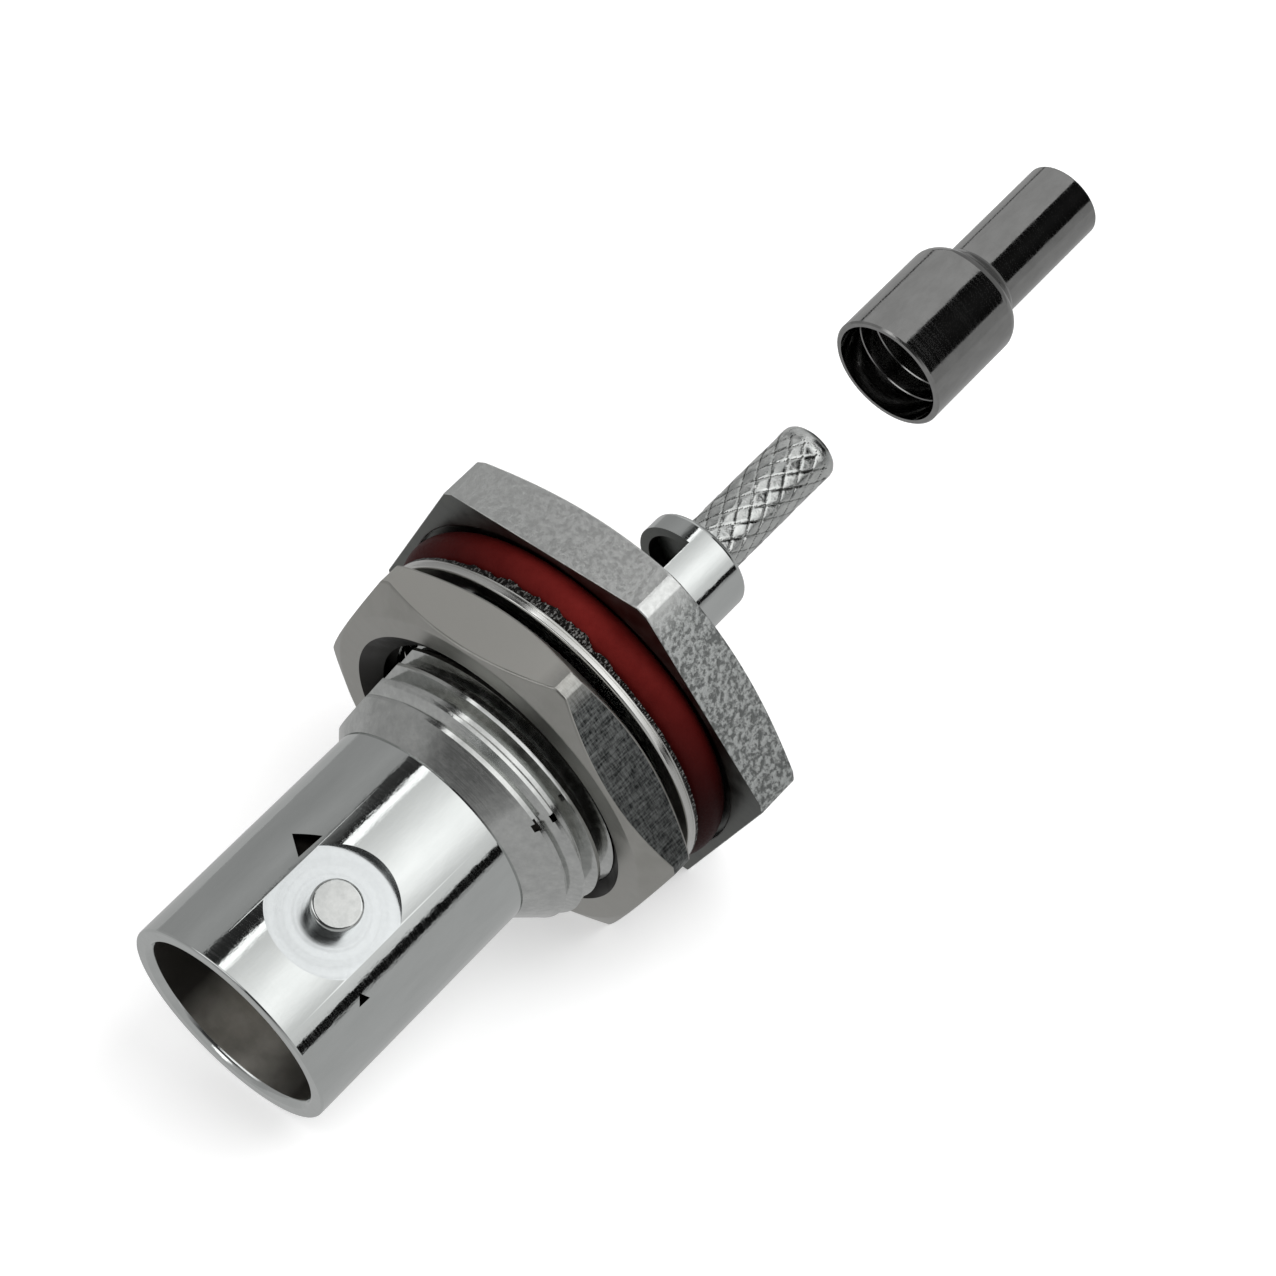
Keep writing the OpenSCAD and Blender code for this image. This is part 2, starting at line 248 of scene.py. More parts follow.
def cut(piece, tool, operation="DIFFERENCE"):
    """Cut a piece with a tool, as a mill or a tap does, and throw the tool away."""
    modifier = piece.modifiers.new("cut", "BOOLEAN")
    modifier.object = tool
    modifier.operation = operation
    modifier.solver = "EXACT"
    apply_modifiers(piece)
    bpy.data.objects.remove(tool)


def slice_off(bm, point, outward):
    """Slice off what lies beyond a plane, and close the cut with a face."""
    sliced = bmesh.ops.bisect_plane(
        bm,
        geom=bm.verts[:] + bm.edges[:] + bm.faces[:],
        dist=1e-5,
        plane_co=point,
        plane_no=outward,
        clear_outer=True,
    )
    rim = [item for item in sliced["geom_cut"] if isinstance(item, bmesh.types.BMEdge)]
    bmesh.ops.edgeloop_fill(bm, edges=rim)


def set_in_place(bm, turned_by, moved_by):
    """Turn everything in a bmesh by a matrix, then move it."""
    bmesh.ops.transform(bm, matrix=turned_by, verts=bm.verts[:])
    bmesh.ops.translate(bm, vec=moved_by, verts=bm.verts[:])


# %% [markdown]
# A long face beside a tiny rounded edge is a trap: smooth shading mixes their directions, and the
# long face then reflects as if it were bent. The Weighted Normal modifier lets the large face decide.

# %% Finish a part
def finish_piece(piece, body, node, materials, sharp=30):
    """Scale a piece to metres, shade it, give it its materials and let it stand for its solid."""
    piece.data.shade_smooth()
    piece.data.set_sharp_from_angle(angle=math.radians(sharp))
    weigh = piece.modifiers.new("weigh", "WEIGHTED_NORMAL")
    weigh.keep_sharp = True
    weigh.thresh = 0
    apply_modifiers(piece)
    piece.data.transform(Matrix.Scale(MM, 4))
    piece.data.materials.clear()
    for material in materials:
        piece.data.materials.append(material)
    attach(piece, body)
    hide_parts(node)
    print(piece.name, "has", len(piece.data.polygons), "faces")


# %% Soften sharp edges
SOFT_ABOVE = math.radians(18)


def soften(bm, width, keep=None):
    """Bevel every sharp edge for which keep(edge) is true."""
    sharp_edges = [
        edge
        for edge in bm.edges
        if len(edge.link_faces) == 2
        and edge.calc_face_angle() > SOFT_ABOVE
        and (keep is None or keep(edge))
    ]
    bmesh.ops.bevel(
        bm,
        geom=sharp_edges,
        offset=width,
        offset_type="OFFSET",
        affect="EDGES",
        segments=3,
        profile=0.5,
        clamp_overlap=True,
        material=-1,
    )


# %% Give some faces another finish
def mark_faces(piece, index, chosen):
    """Give a finished part's faces another of its materials, where chosen(place, normal) is true.

    place is the middle of the face, in millimetres.
    """
    found = 0
    for face in piece.data.polygons:
        if chosen(face.center / MM, face.normal):
            face.material_index = index
            found += 1
    print(piece.name, "wears", piece.data.materials[index].name, "on", found, "faces")


def mark_bore(piece, index, widest):
    """Mark the faces that look towards the axis, within a radius."""
    mark_faces(
        piece,
        index,
        lambda place, normal: place.xy.length < widest and place.xy.dot(normal.xy) < 0,
    )


# %% [markdown]
# ## Helpers for materials
# Every material starts the same way: a Principled shader, and the place of each point in millimetres
# from Object coordinates, so that a pattern's size can be thought of in millimetres.
# Effects that several finishes share are node groups: lathe marks, grain and specks.

# %% Start a material
def start_material(name, color, metallic, roughness):
    """Returns the material, its node tree, its shader and the socket of the place in millimetres."""
    material = bpy.data.materials.new(name)
    material.use_nodes = True
    tree = material.node_tree
    shader = tree.nodes["Principled BSDF"]
    shader.inputs["Base Color"].default_value = (*color, 1)
    shader.inputs["Metallic"].default_value = metallic
    shader.inputs["Roughness"].default_value = roughness
    coordinates = tree.nodes.new("ShaderNodeTexCoord")
    place = tree.nodes.new("ShaderNodeVectorMath")
    place.operation = "SCALE"
    place.inputs["Scale"].default_value = 1 / MM
    tree.links.new(coordinates.outputs["Object"], place.inputs[0])
    return material, tree, shader, place.outputs[0]


def new_group(name, numbers, outputs):
    """A shader group with a Place input, number inputs with their defaults, and number outputs."""
    group = bpy.data.node_groups.new(name, "ShaderNodeTree")
    group.interface.new_socket("Place", in_out="INPUT", socket_type="NodeSocketVector")
    for label, value in numbers.items():
        socket = group.interface.new_socket(label, in_out="INPUT", socket_type="NodeSocketFloat")
        socket.default_value = value
    for label in outputs:
        group.interface.new_socket(label, in_out="OUTPUT", socket_type="NodeSocketFloat")
    inside = group.nodes.new("NodeGroupInput")
    outside = group.nodes.new("NodeGroupOutput")
    return group, inside, outside


def add_group(tree, group, place, *numbers):
    """Place a group in a material. The numbers fill its inputs, in their order."""
    node = tree.nodes.new("ShaderNodeGroup")
    node.node_tree = group
    tree.links.new(place, node.inputs["Place"])
    for socket, value in zip(node.inputs[1:], numbers):
        socket.default_value = value
    return node


# %% Small node helpers
def math_node(tree, operation, first, second=None, third=None, clamp=False):
    """A Math node whose inputs are sockets or numbers. Returns its output."""
    node = tree.nodes.new("ShaderNodeMath")
    node.operation = operation
    node.use_clamp = clamp
    for socket, value in zip(node.inputs, (first, second, third)):
        if value is None:
            continue
        if isinstance(value, (int, float)):
            socket.default_value = value
        else:
            tree.links.new(value, socket)
    return node.outputs[0]


def spread(tree, value, low, high):
    """Turn a 0 to 1 value into a value from low to high."""
    node = tree.nodes.new("ShaderNodeMapRange")
    tree.links.new(value, node.inputs["Value"])
    node.inputs["To Min"].default_value = low
    node.inputs["To Max"].default_value = high
    return node.outputs[0]


def blend_colors(tree, mask, first, second):
    """Mix two colours by a mask."""
    node = tree.nodes.new("ShaderNodeMix")
    node.data_type = "RGBA"
    tree.links.new(mask, node.inputs["Factor"])
    for socket, color in ((node.inputs[6], first), (node.inputs[7], second)):
        if isinstance(color, tuple):
            socket.default_value = (*color, 1)
        else:
            tree.links.new(color, socket)
    return node.outputs[2]


def side_of(tree, place):
    """The X of a place in millimetres, for what differs from one side of a part to the other."""
    split = tree.nodes.new("ShaderNodeSeparateXYZ")
    tree.links.new(place, split.inputs[0])
    return split.outputs["X"]


def dress(tree, shader, rough, tint):
    """Give a shader its roughness and its colour."""
    tree.links.new(rough, shader.inputs["Roughness"])
    tree.links.new(tint, shader.inputs["Base Color"])


def add_bump(tree, shader, height, depth_mm, before=None):
    """Add a Bump of a depth in millimetres under the shader. before is an earlier normal."""
    bump = tree.nodes.new("ShaderNodeBump")
    bump.inputs["Distance"].default_value = depth_mm * MM
    tree.links.new(height, bump.inputs["Height"])
    if before is not None:
        tree.links.new(before, bump.inputs["Normal"])
    tree.links.new(bump.outputs[0], shader.inputs["Normal"])
    return bump.outputs[0]


# %% [markdown]
# ### Lathe marks
# A lathe leaves fine rings: round a cylinder and in circles on an end face. Both are the same
# pattern, noise that changes only with the height and the distance from the axis.

# %% Lathe marks group
def make_lathe_marks():
    group, inside, outside = new_group(
        "lathe_marks", {"Lines per mm": 6.0, "Wander": 0.05}, ("Height", "Mask")
    )
    split = group.nodes.new("ShaderNodeSeparateXYZ")
    group.links.new(inside.outputs["Place"], split.inputs[0])
    x_squared = math_node(group, "MULTIPLY", split.outputs["X"], split.outputs["X"])
    xy_squared = math_node(group, "MULTIPLY_ADD", split.outputs["Y"], split.outputs["Y"], x_squared)
    radius = math_node(group, "SQRT", xy_squared)
    join = group.nodes.new("ShaderNodeCombineXYZ")
    group.links.new(radius, join.inputs["X"])
    group.links.new(split.outputs["Z"], join.inputs["Y"])
    lines = group.nodes.new("ShaderNodeVectorMath")
    lines.operation = "SCALE"
    group.links.new(join.outputs[0], lines.inputs[0])
    group.links.new(inside.outputs["Lines per mm"], lines.inputs["Scale"])
    wander = group.nodes.new("ShaderNodeTexNoise")
    wander.inputs["Scale"].default_value = 0.6
    group.links.new(inside.outputs["Place"], wander.inputs["Vector"])
    shift = math_node(group, "MULTIPLY", wander.outputs["Fac"], inside.outputs["Wander"])
    moved = group.nodes.new("ShaderNodeVectorMath")
    moved.operation = "ADD"
    group.links.new(lines.outputs[0], moved.inputs[0])
    group.links.new(shift, moved.inputs[1])
    rings = group.nodes.new("ShaderNodeTexNoise")
    rings.noise_dimensions = "2D"
    rings.inputs["Scale"].default_value = 1.0
    rings.inputs["Detail"].default_value = 3.0
    group.links.new(moved.outputs[0], rings.inputs["Vector"])
    group.links.new(rings.outputs["Fac"], outside.inputs["Height"])
    mask = math_node(group, "SUBTRACT", rings.outputs["Fac"], 0.4)
    mask = math_node(group, "MULTIPLY", mask, 5.0, clamp=True)
    group.links.new(mask, outside.inputs["Mask"])
    return group


lathe_marks = make_lathe_marks()
print("Group:", lathe_marks.name)

# %% [markdown]
# ### Grain
# Blasted or etched metal, rubber and plastic all show a fine irregular grain. Noise with several
# sizes of detail gives it. The stretch makes it run along the axis, as drawn bar stock does, or
# round it, where it is more than 1.

# %% Grain group
def make_grain():
    group, inside, outside = new_group(
        "grain", {"Grains per mm": 5.0, "Stretch": 1.0, "Contrast": 1.0}, ("Height", "Mask")
    )
    stretch = group.nodes.new("ShaderNodeCombineXYZ")
    stretch.inputs["X"].default_value = 1
    stretch.inputs["Y"].default_value = 1
    group.links.new(inside.outputs["Stretch"], stretch.inputs["Z"])
    drawn = group.nodes.new("ShaderNodeVectorMath")
    drawn.operation = "MULTIPLY"
    group.links.new(inside.outputs["Place"], drawn.inputs[0])
    group.links.new(stretch.outputs[0], drawn.inputs[1])
    coarse = group.nodes.new("ShaderNodeTexNoise")
    coarse.inputs["Detail"].default_value = 5.0
    coarse.inputs["Roughness"].default_value = 0.6
    group.links.new(drawn.outputs[0], coarse.inputs["Vector"])
    group.links.new(inside.outputs["Grains per mm"], coarse.inputs["Scale"])
    group.links.new(coarse.outputs["Fac"], outside.inputs["Height"])
    centred = math_node(group, "SUBTRACT", coarse.outputs["Fac"], 0.5)
    scaled = math_node(group, "MULTIPLY", centred, inside.outputs["Contrast"])
    mask = math_node(group, "MULTIPLY_ADD", scaled, 3.0, 0.5, clamp=True)
    group.links.new(mask, outside.inputs["Mask"])
    return group


grain = make_grain()
print("Group:", grain.name)

# %% [markdown]
# ### Specks
# Rubber gathers a few pale specks of dust. They are the few cells of a cell pattern whose random
# number is low, and only near each cell's middle.

# %% Specks group
def make_specks():
    group, inside, outside = new_group(
        "specks", {"Cells per mm": 2.0, "Share": 0.05, "Size": 0.2}, ("Mask",)
    )
    cells = group.nodes.new("ShaderNodeTexVoronoi")
    group.links.new(inside.outputs["Place"], cells.inputs["Vector"])
    group.links.new(inside.outputs["Cells per mm"], cells.inputs["Scale"])
    split = group.nodes.new("ShaderNodeSeparateColor")
    group.links.new(cells.outputs["Color"], split.inputs[0])
    chosen = math_node(group, "LESS_THAN", split.outputs[0], inside.outputs["Share"])
    near = math_node(group, "LESS_THAN", cells.outputs["Distance"], inside.outputs["Size"])
    mask = math_node(group, "MULTIPLY", chosen, near)
    group.links.new(mask, outside.inputs["Mask"])
    return group


specks = make_specks()
print("Group:", specks.name)

# %% [markdown]
# ### A finish from its numbers
# Most finishes differ only in their numbers: which patterns lie on the part, which of them varies the
# roughness and which the colour, and how deep each presses into the surface. One function makes them
# all. A finish that needs nodes of its own is made by itself, further down.
# The numbers of a grain are its grains per millimetre, stretch and contrast, and those of lathe marks
# are their lines per millimetre and wander.

# %% Make a finish
def make_finish(name, patterns, rough, tint, bumps, metallic=1.0, stain=None):
    """patterns holds (group, numbers) by name. rough and tint are (pattern, from, to).

    bumps holds (pattern, depth in millimetres). stain(tree, place, tone) may change the colour.
    """
    material, tree, shader, place = start_material(name, tint[2], metallic, rough[2])
    laid = {}
    for label, (group, *numbers) in patterns.items():
        laid[label] = add_group(tree, group, place, *numbers)
    tone = blend_colors(tree, laid[tint[0]].outputs["Mask"], tint[1], tint[2])
    if stain:
        tone = stain(tree, place, tone)
    dress(tree, shader, spread(tree, laid[rough[0]].outputs["Mask"], rough[1], rough[2]), tone)
    normal = None
    for label, depth_mm in bumps:
        normal = add_bump(tree, shader, laid[label].outputs["Height"], depth_mm, normal)
    print("Material:", name)
    return material


def shader_sockets(material):
    """The inputs of a material's shader."""
    return material.node_tree.nodes["Principled BSDF"].inputs

# %% [markdown]
# ## Bright nickel
# The barrel and the neck are polished brass under bright nickel. It is almost a mirror, so what it
# shows is the room. The plating is never quite flat, and that breaks up the edges of reflections.

# %% Bright nickel
bright_nickel = make_finish(
    "polished_nickel",
    {"waves": (grain, 0.9, 0.35), "ripples": (grain, 2.6, 0.8), "rings": (lathe_marks, 14, 0.4)},
    rough=("rings", 0.05, 0.1),
    tint=("waves", (0.605, 0.625, 0.615), (0.655, 0.675, 0.665)),
    bumps=[("waves", 0.012), ("ripples", 0.0022), ("rings", 0.0004)],
)

# %% [markdown]
# ## Machined nickel
# The cone and the thread were cut and not polished, so the plating shows the tool's fine rings.

# %% Machined nickel
machined_nickel = make_finish(
    "machined_nickel",
    {"patches": (grain, 2.5, 1, 0.8), "rings": (lathe_marks, 9, 1.2)},
    rough=("patches", 0.1, 0.2),
    tint=("patches", (0.5, 0.51, 0.5), (0.64, 0.65, 0.635)),
    bumps=[("patches", 0.006), ("rings", 0.003)],
)

# %% [markdown]
# ## Knurled nickel
# The stem is plated over a rolled knurl, which leaves it grainy and duller than the neck.

# %% Knurled nickel
knurled_nickel = make_finish(
    "knurled_nickel",
    {"fine": (grain, 6), "patches": (grain, 1.5, 1, 1.2)},
    rough=("patches", 0.13, 0.22),
    tint=("patches", (0.52, 0.535, 0.525), (0.68, 0.695, 0.68)),
    bumps=[("fine", 0.01)],
)

# %% [markdown]
# ## Milled nickel
# The hollow mill leaves arcs round the stud on the flat that it cuts. They circle the stud's own axis,
# so the pattern is turned on its side by a Mapping node before it meets the lathe marks.

# %% Milled nickel
def make_milled_nickel():
    light = (0.685, 0.71, 0.715)
    material, tree, shader, place = start_material("milled_nickel", light, 1.0, 0.2)
    lay_down = tree.nodes.new("ShaderNodeMapping")
    lay_down.vector_type = "TEXTURE"
    lay_down.inputs["Location"].default_value = (0, 0, stud_z)
    lay_down.inputs["Rotation"].default_value = (math.pi / 2, 0, stud_turn)
    tree.links.new(place, lay_down.inputs["Vector"])
    arcs = add_group(tree, lathe_marks, lay_down.outputs[0], 7, 0.6)
    patches = add_group(tree, grain, place, 6)
    tint = blend_colors(tree, patches.outputs["Mask"], (0.655, 0.68, 0.685), light)
    dress(tree, shader, spread(tree, arcs.outputs["Mask"], 0.16, 0.24), tint)
    add_bump(tree, shader, arcs.outputs["Height"], 0.0006)
    return material


milled_nickel = make_milled_nickel()
print("Material:", milled_nickel.name)

# %% [markdown]
# ## Two finishes of the nut
# The nut has a duller, warmer plating. Towards -X its flats wear painted shade and a painted dark
# reflection, broken by the streaks of the drawn bar along the axis, crossed by fainter ones. Towards +X
# both fade, and the flats there are even and paler.

# %% Satin nickel
satin_nickel = make_finish(
    "nut_nickel",
    {"fine": (grain, 7), "cloud": (grain, 0.7, 1, 1.3), "rings": (lathe_marks, 5, 0.5)},
    rough=("cloud", 0.28, 0.4),
    tint=("cloud", (0.41, 0.405, 0.38), (0.475, 0.47, 0.445)),
    bumps=[("fine", 0.006), ("rings", 0.003)],
)


# %% Streaks and painted shade on the nut's flats
def make_streaks_and_shade_nickel():
    even = (0.68, 0.67, 0.63)
    material, tree, shader, place = start_material("streaks_and_shade_nickel", even, 1.0, 0.3)
    streaks = add_group(tree, grain, place, 11, 0.16, 1.6)
    weft = add_group(tree, grain, place, 3, 4, 1.6)
    woven = math_node(tree, "ADD", streaks.outputs["Mask"], weft.outputs["Mask"])
    woven = math_node(tree, "MULTIPLY", woven, 0.5)
    # towards -X: painted shade and a painted dark reflection, under the bar's streaks
    shade_and_streaks = math_node(tree, "MULTIPLY_ADD", side_of(tree, place), -0.5, 0.5, clamp=True)
    lines = blend_colors(tree, woven, (0.015, 0.017, 0.017), (0.24, 0.25, 0.245))
    dress(tree, shader, spread(tree, shade_and_streaks, 0.36, 0.3), blend_colors(tree, shade_and_streaks, even, lines))
    height = math_node(tree, "MULTIPLY", streaks.outputs["Height"], spread(tree, shade_and_streaks, 0.4, 1.0))
    add_bump(tree, shader, height, 0.008)
    return material


streaks_and_shade_nickel = make_streaks_and_shade_nickel()
print("Material:", streaks_and_shade_nickel.name)

# %% [markdown]
# ## Blasted nickel of the flange
# The flange's flats are grainy. Towards +X the grain is fine and even. Towards -X it is coarse and
# mottled, and darkened with painted shade.

# %% Blasted nickel
def make_blasted_nickel():
    pale = (0.79, 0.8, 0.785)
    material, tree, shader, place = start_material("blasted_nickel", pale, 1.0, 0.36)
    fine = add_group(tree, grain, place, 8, 1, 0.6)
    coarse = add_group(tree, grain, place, 4.5, 1, 2.4)
    # towards -X: coarser grain, darkened with painted shade
    mottled = math_node(tree, "MULTIPLY_ADD", side_of(tree, place), -0.8, -0.1, clamp=True)
    plain = blend_colors(tree, fine.outputs["Mask"], (0.7, 0.715, 0.7), pale)
    shaded_mottle = blend_colors(tree, coarse.outputs["Mask"], (0.23, 0.24, 0.235), (0.6, 0.62, 0.61))
    rough = spread(tree, coarse.outputs["Mask"], 0.3, 0.42)
    dress(tree, shader, rough, blend_colors(tree, mottled, plain, shaded_mottle))
    even = math_node(tree, "MULTIPLY", fine.outputs["Height"], 0.15)
    height = math_node(tree, "MULTIPLY_ADD", coarse.outputs["Height"], mottled, even)
    add_bump(tree, shader, height, 0.04)
    return material


blasted_nickel = make_blasted_nickel()
print("Material:", blasted_nickel.name)

# %% [markdown]
# ## Washer nickel and the torn edge
# A stamped washer has a smooth sheared band and a torn band below it. The torn metal is rough, and
# painted shade turns it nearly black, with a few bright whiskers, which are the highest grains only.

# %% Washer nickel
washer_nickel = make_finish(
    "sheared_nickel",
    {"rings": (lathe_marks, 8, 1)},
    rough=("rings", 0.1, 0.24),
    tint=("rings", (0.7, 0.7, 0.68), (0.62, 0.62, 0.6)),
    bumps=[("rings", 0.003)],
)


# %% Torn metal in painted shade
def make_torn_shaded_nickel():
    whisker = (0.3, 0.3, 0.29)
    material, tree, shader, place = start_material("torn_shaded_nickel", whisker, 1.0, 0.45)
    torn = add_group(tree, grain, place, 12, 0.5, 2)
    whiskers = math_node(tree, "POWER", torn.outputs["Mask"], 4.0)
    # the near-black is painted shade; the whiskers are the grain's highest points
    tint = blend_colors(tree, whiskers, (0.012, 0.011, 0.01), whisker)
    tree.links.new(tint, shader.inputs["Base Color"])
    add_bump(tree, shader, torn.outputs["Height"], 0.06)
    return material


torn_shaded_nickel = make_torn_shaded_nickel()
print("Material:", torn_shaded_nickel.name)

# %% [markdown]
# ## Dull nickel inside the bores
# Plating reaches poorly into a deep bore, and nothing polishes it there. It stays thin, dull and a
# little brown, which is why the inside of the mouth looks darker than the barrel. Painted light makes
# the middle of the bore pale, and painted shade keeps its two sides, towards -X and +X, nearly black.
# The same finish in darker tones is painted shade for what hardly sees light: seats, sinks and the
# floors of cuts.

# %% Dull nickel
def paint_bore_light_and_shade(tree, place, tone):
    """Paint light in a band about the middle, and paint shade, nearly black, beside it."""
    across = math_node(tree, "MULTIPLY_ADD", side_of(tree, place), 0.36, 0.3)
    square = math_node(tree, "MULTIPLY", across, across)
    # painted light in the middle of the bore, painted shade on its two sides
    painted_light_band = math_node(tree, "SUBTRACT", 1.06, square, clamp=True)
    return blend_colors(tree, painted_light_band, (0.05, 0.047, 0.042), tone)


def make_dull_nickel(name, dark, light, metallic=1.0, stain=None):
    return make_finish(
        name,
        {"rings": (lathe_marks, 4, 1), "cloud": (grain, 0.8, 1, 1.3)},
        rough=("cloud", 0.32, 0.46),
        tint=("cloud", dark, light),
        bumps=[("rings", 0.003)],
        metallic=metallic,
        stain=stain,
    )


dull_nickel = make_dull_nickel(
    "bore_nickel", (0.4, 0.385, 0.35), (0.53, 0.51, 0.47), 0.65, paint_bore_light_and_shade
)
# Two darker tones of the dull finish, as painted shade for what hardly sees light.
sink_shade_nickel = make_dull_nickel("sink_shade_nickel", (0.008, 0.007, 0.006), (0.025, 0.023, 0.02))
seat_shade_nickel = make_dull_nickel("seat_shade_nickel", (0.1, 0.105, 0.1), (0.17, 0.175, 0.165))

# %% [markdown]
# ## Dark nickel of the ferrule
# The ferrule is plated with a darker, gunmetal nickel over a smooth turned tube.

# %% Dark nickel
dark_nickel = make_finish(
    "gunmetal_nickel",
    {"cloud": (grain, 2, 0.5), "rings": (lathe_marks, 10, 0.6)},
    rough=("rings", 0.08, 0.15),
    tint=("cloud", (0.3, 0.3, 0.295), (0.345, 0.345, 0.34)),
    bumps=[("cloud", 0.004), ("rings", 0.0008)],
)

# %% [markdown]
# ## Gold, white plastic and red rubber
# The contact is gold plated. The insulators are white PTFE, which is waxy and lets a little light in.
# The sealing ring is dark red silicone rubber. It is dull, with a little dust. Painted light keeps it
# brightest near the middle of the side in view, and painted shade darkens it round towards both sides.

# %% Gold plate
gold_plate = make_finish(
    "gold",
    {"rings": (lathe_marks, 12, 0.3)},
    rough=("rings", 0.13, 0.26),
    tint=("rings", (0.86, 0.61, 0.27), (0.78, 0.53, 0.2)),
    bumps=[("rings", 0.002)],
)


# %% White plastic
white_ptfe = make_finish(
    "ptfe",
    {"rings": (lathe_marks, 5, 0.3)},
    rough=("rings", 0.36, 0.5),
    tint=("rings", (0.84, 0.84, 0.81), (0.77, 0.77, 0.73)),
    bumps=[("rings", 0.006)],
    metallic=0.0,
)
shader_sockets(white_ptfe)["Subsurface Weight"].default_value = 0.15
shader_sockets(white_ptfe)["Subsurface Radius"].default_value = (1, 1, 0.9)
shader_sockets(white_ptfe)["Subsurface Scale"].default_value = 0.4 * MM


# %% Red rubber
def shade_and_dust(tree, place, tone):
    """Paint shade on the rubber away from its most lit place, then strew the dust."""
    lit_x = 1.0
    aside = math_node(tree, "ABSOLUTE", math_node(tree, "SUBTRACT", side_of(tree, place), lit_x))
    lit_share = math_node(tree, "MULTIPLY_ADD", aside, -0.13, 1.05, clamp=True)
    # painted shade, darker away from the lit middle of the ring
    tone = blend_colors(tree, lit_share, (0.02, 0.0008, 0.0008), tone)
    dust = add_group(tree, specks, place, 1.6, 0.035, 0.09)
    return blend_colors(tree, dust.outputs["Mask"], tone, (0.45, 0.3, 0.27))


red_rubber = make_finish(
    "red_rubber",
    {"fine": (grain, 9), "cloud": (grain, 1.2)},
    rough=("fine", 0.42, 0.58),
    tint=("cloud", (0.13, 0.009, 0.008), (0.165, 0.014, 0.012)),
    bumps=[("fine", 0.008)],
    metallic=0.0,
    stain=shade_and_dust,
)
shader_sockets(red_rubber)["Specular IOR Level"].default_value = 0.05

# %% [markdown]
# ## The barrel
# The barrel is a turned tube with a chamfered rim and a thin groove round its foot, and its bore takes
# the plug. On two sides a hollow mill cuts a flat, inside which the studs stand. The tube is spun, and
# two short bars cut the flats. Two three-sided bars leave the small nicks beside one of them.

# %% Barrel
def stud_side(side):
    """Turns a part made along the axis so that it points out of one side of the barrel."""
    return Matrix.Rotation(stud_turn + side * math.pi, 4, "Z") @ Matrix.Rotation(math.pi / 2, 4, "X")


def make_bar(radius, low, high, segments=128):
    """A plain round bar on the axis, between two heights."""
    bm = bmesh.new()
    bmesh.ops.create_cone(
        bm, cap_ends=True, segments=segments, radius1=radius, radius2=radius, depth=high - low
    )
    bmesh.ops.translate(bm, vec=(0, 0, (low + high) / 2), verts=bm.verts[:])
    return bm


# The nicks: across and along from the stud, round the barrel and towards its foot, and size.
nicks = [(2.79, 1.3, 0.72), (-3.31, -1.38, 0.32)]
nick_turn = Matrix.Rotation(math.radians(27), 4, "Z")


def make_barrel():
    foot_r = barrel_r - 0.1
    lip_r = insulator_r - 0.5
    lip_z = plug_floor_z - 0.6
    bm = turned(
        [
            (foot_r, cone_top_z),
            (foot_r, cone_top_z + 0.07),
            (barrel_r, cone_top_z + 0.11),
            (barrel_r, mouth_z - rim_edge),
            (barrel_r - rim_edge, mouth_z),
            (mouth_r + rim_chamfer, mouth_z),
            (mouth_r, mouth_z - rim_chamfer),
            (mouth_r, plug_floor_z),
            (lip_r, plug_floor_z),
            (lip_r, lip_z),
            (insulator_bore_r, lip_z),
            (insulator_bore_r, cone_top_z),
        ],
        rounds=[(3, 0.04), (4, 0.04), (5, 0.08), (6, 0.1)],
        steps=384,
    )
    barrel = make_object(bm, "barrel")
    for side in (0, 1):
        mill = make_bar(spot_r, spot_reach, stud_reach + 1)
        set_in_place(mill, stud_side(side), (0, 0, stud_z))
        cut(barrel, make_object(mill, "hollow_mill"))
    for across, along, size in nicks:
        nick = make_bar(size, barrel_r - 0.3, barrel_r + 1, segments=3)
        lean = Matrix.Rotation(across / barrel_r, 4, "Z")
        set_in_place(nick, lean @ stud_side(0) @ nick_turn, (0, 0, stud_z - along))
        cut(barrel, make_object(nick, "nick"))
    barrel_finishes = [bright_nickel, milled_nickel, dull_nickel, sink_shade_nickel]
    finish_piece(barrel, "connector", "body_shell", barrel_finishes)
    mark_bore(barrel, 2, mouth_r + 0.01)
    return barrel


barrel = make_barrel()

# %% [markdown]
# Painted shade makes the nicks nearly black inside. They are the faces a little under the barrel's
# surface, beside the flats. The milled flats are the faces that look straight out along a stud.

# %% Milled flats
def in_a_nick(place, normal):
    under_skin = mouth_r + 0.2 < place.xy.length < barrel_r - 0.02
    return under_skin and abs(place.x) > spot_r - 0.1 and cone_top_z + 1 < place.z < mouth_z - 1


# the nicks wear painted shade
mark_faces(barrel, 3, in_a_nick)
for side in (0, 1):
    outward = (stud_side(side) @ Vector((0, 0, 1))).normalized()
    mark_faces(
        barrel,
        1,
        lambda place, normal: normal.dot(outward) > 0.999
        and abs(place.dot(outward) - spot_reach) < 0.01,
    )

# %% [markdown]
# ## The studs
# Each stud is a short pin with a worn chamfer at its end. The plug's cam slots ride on them.

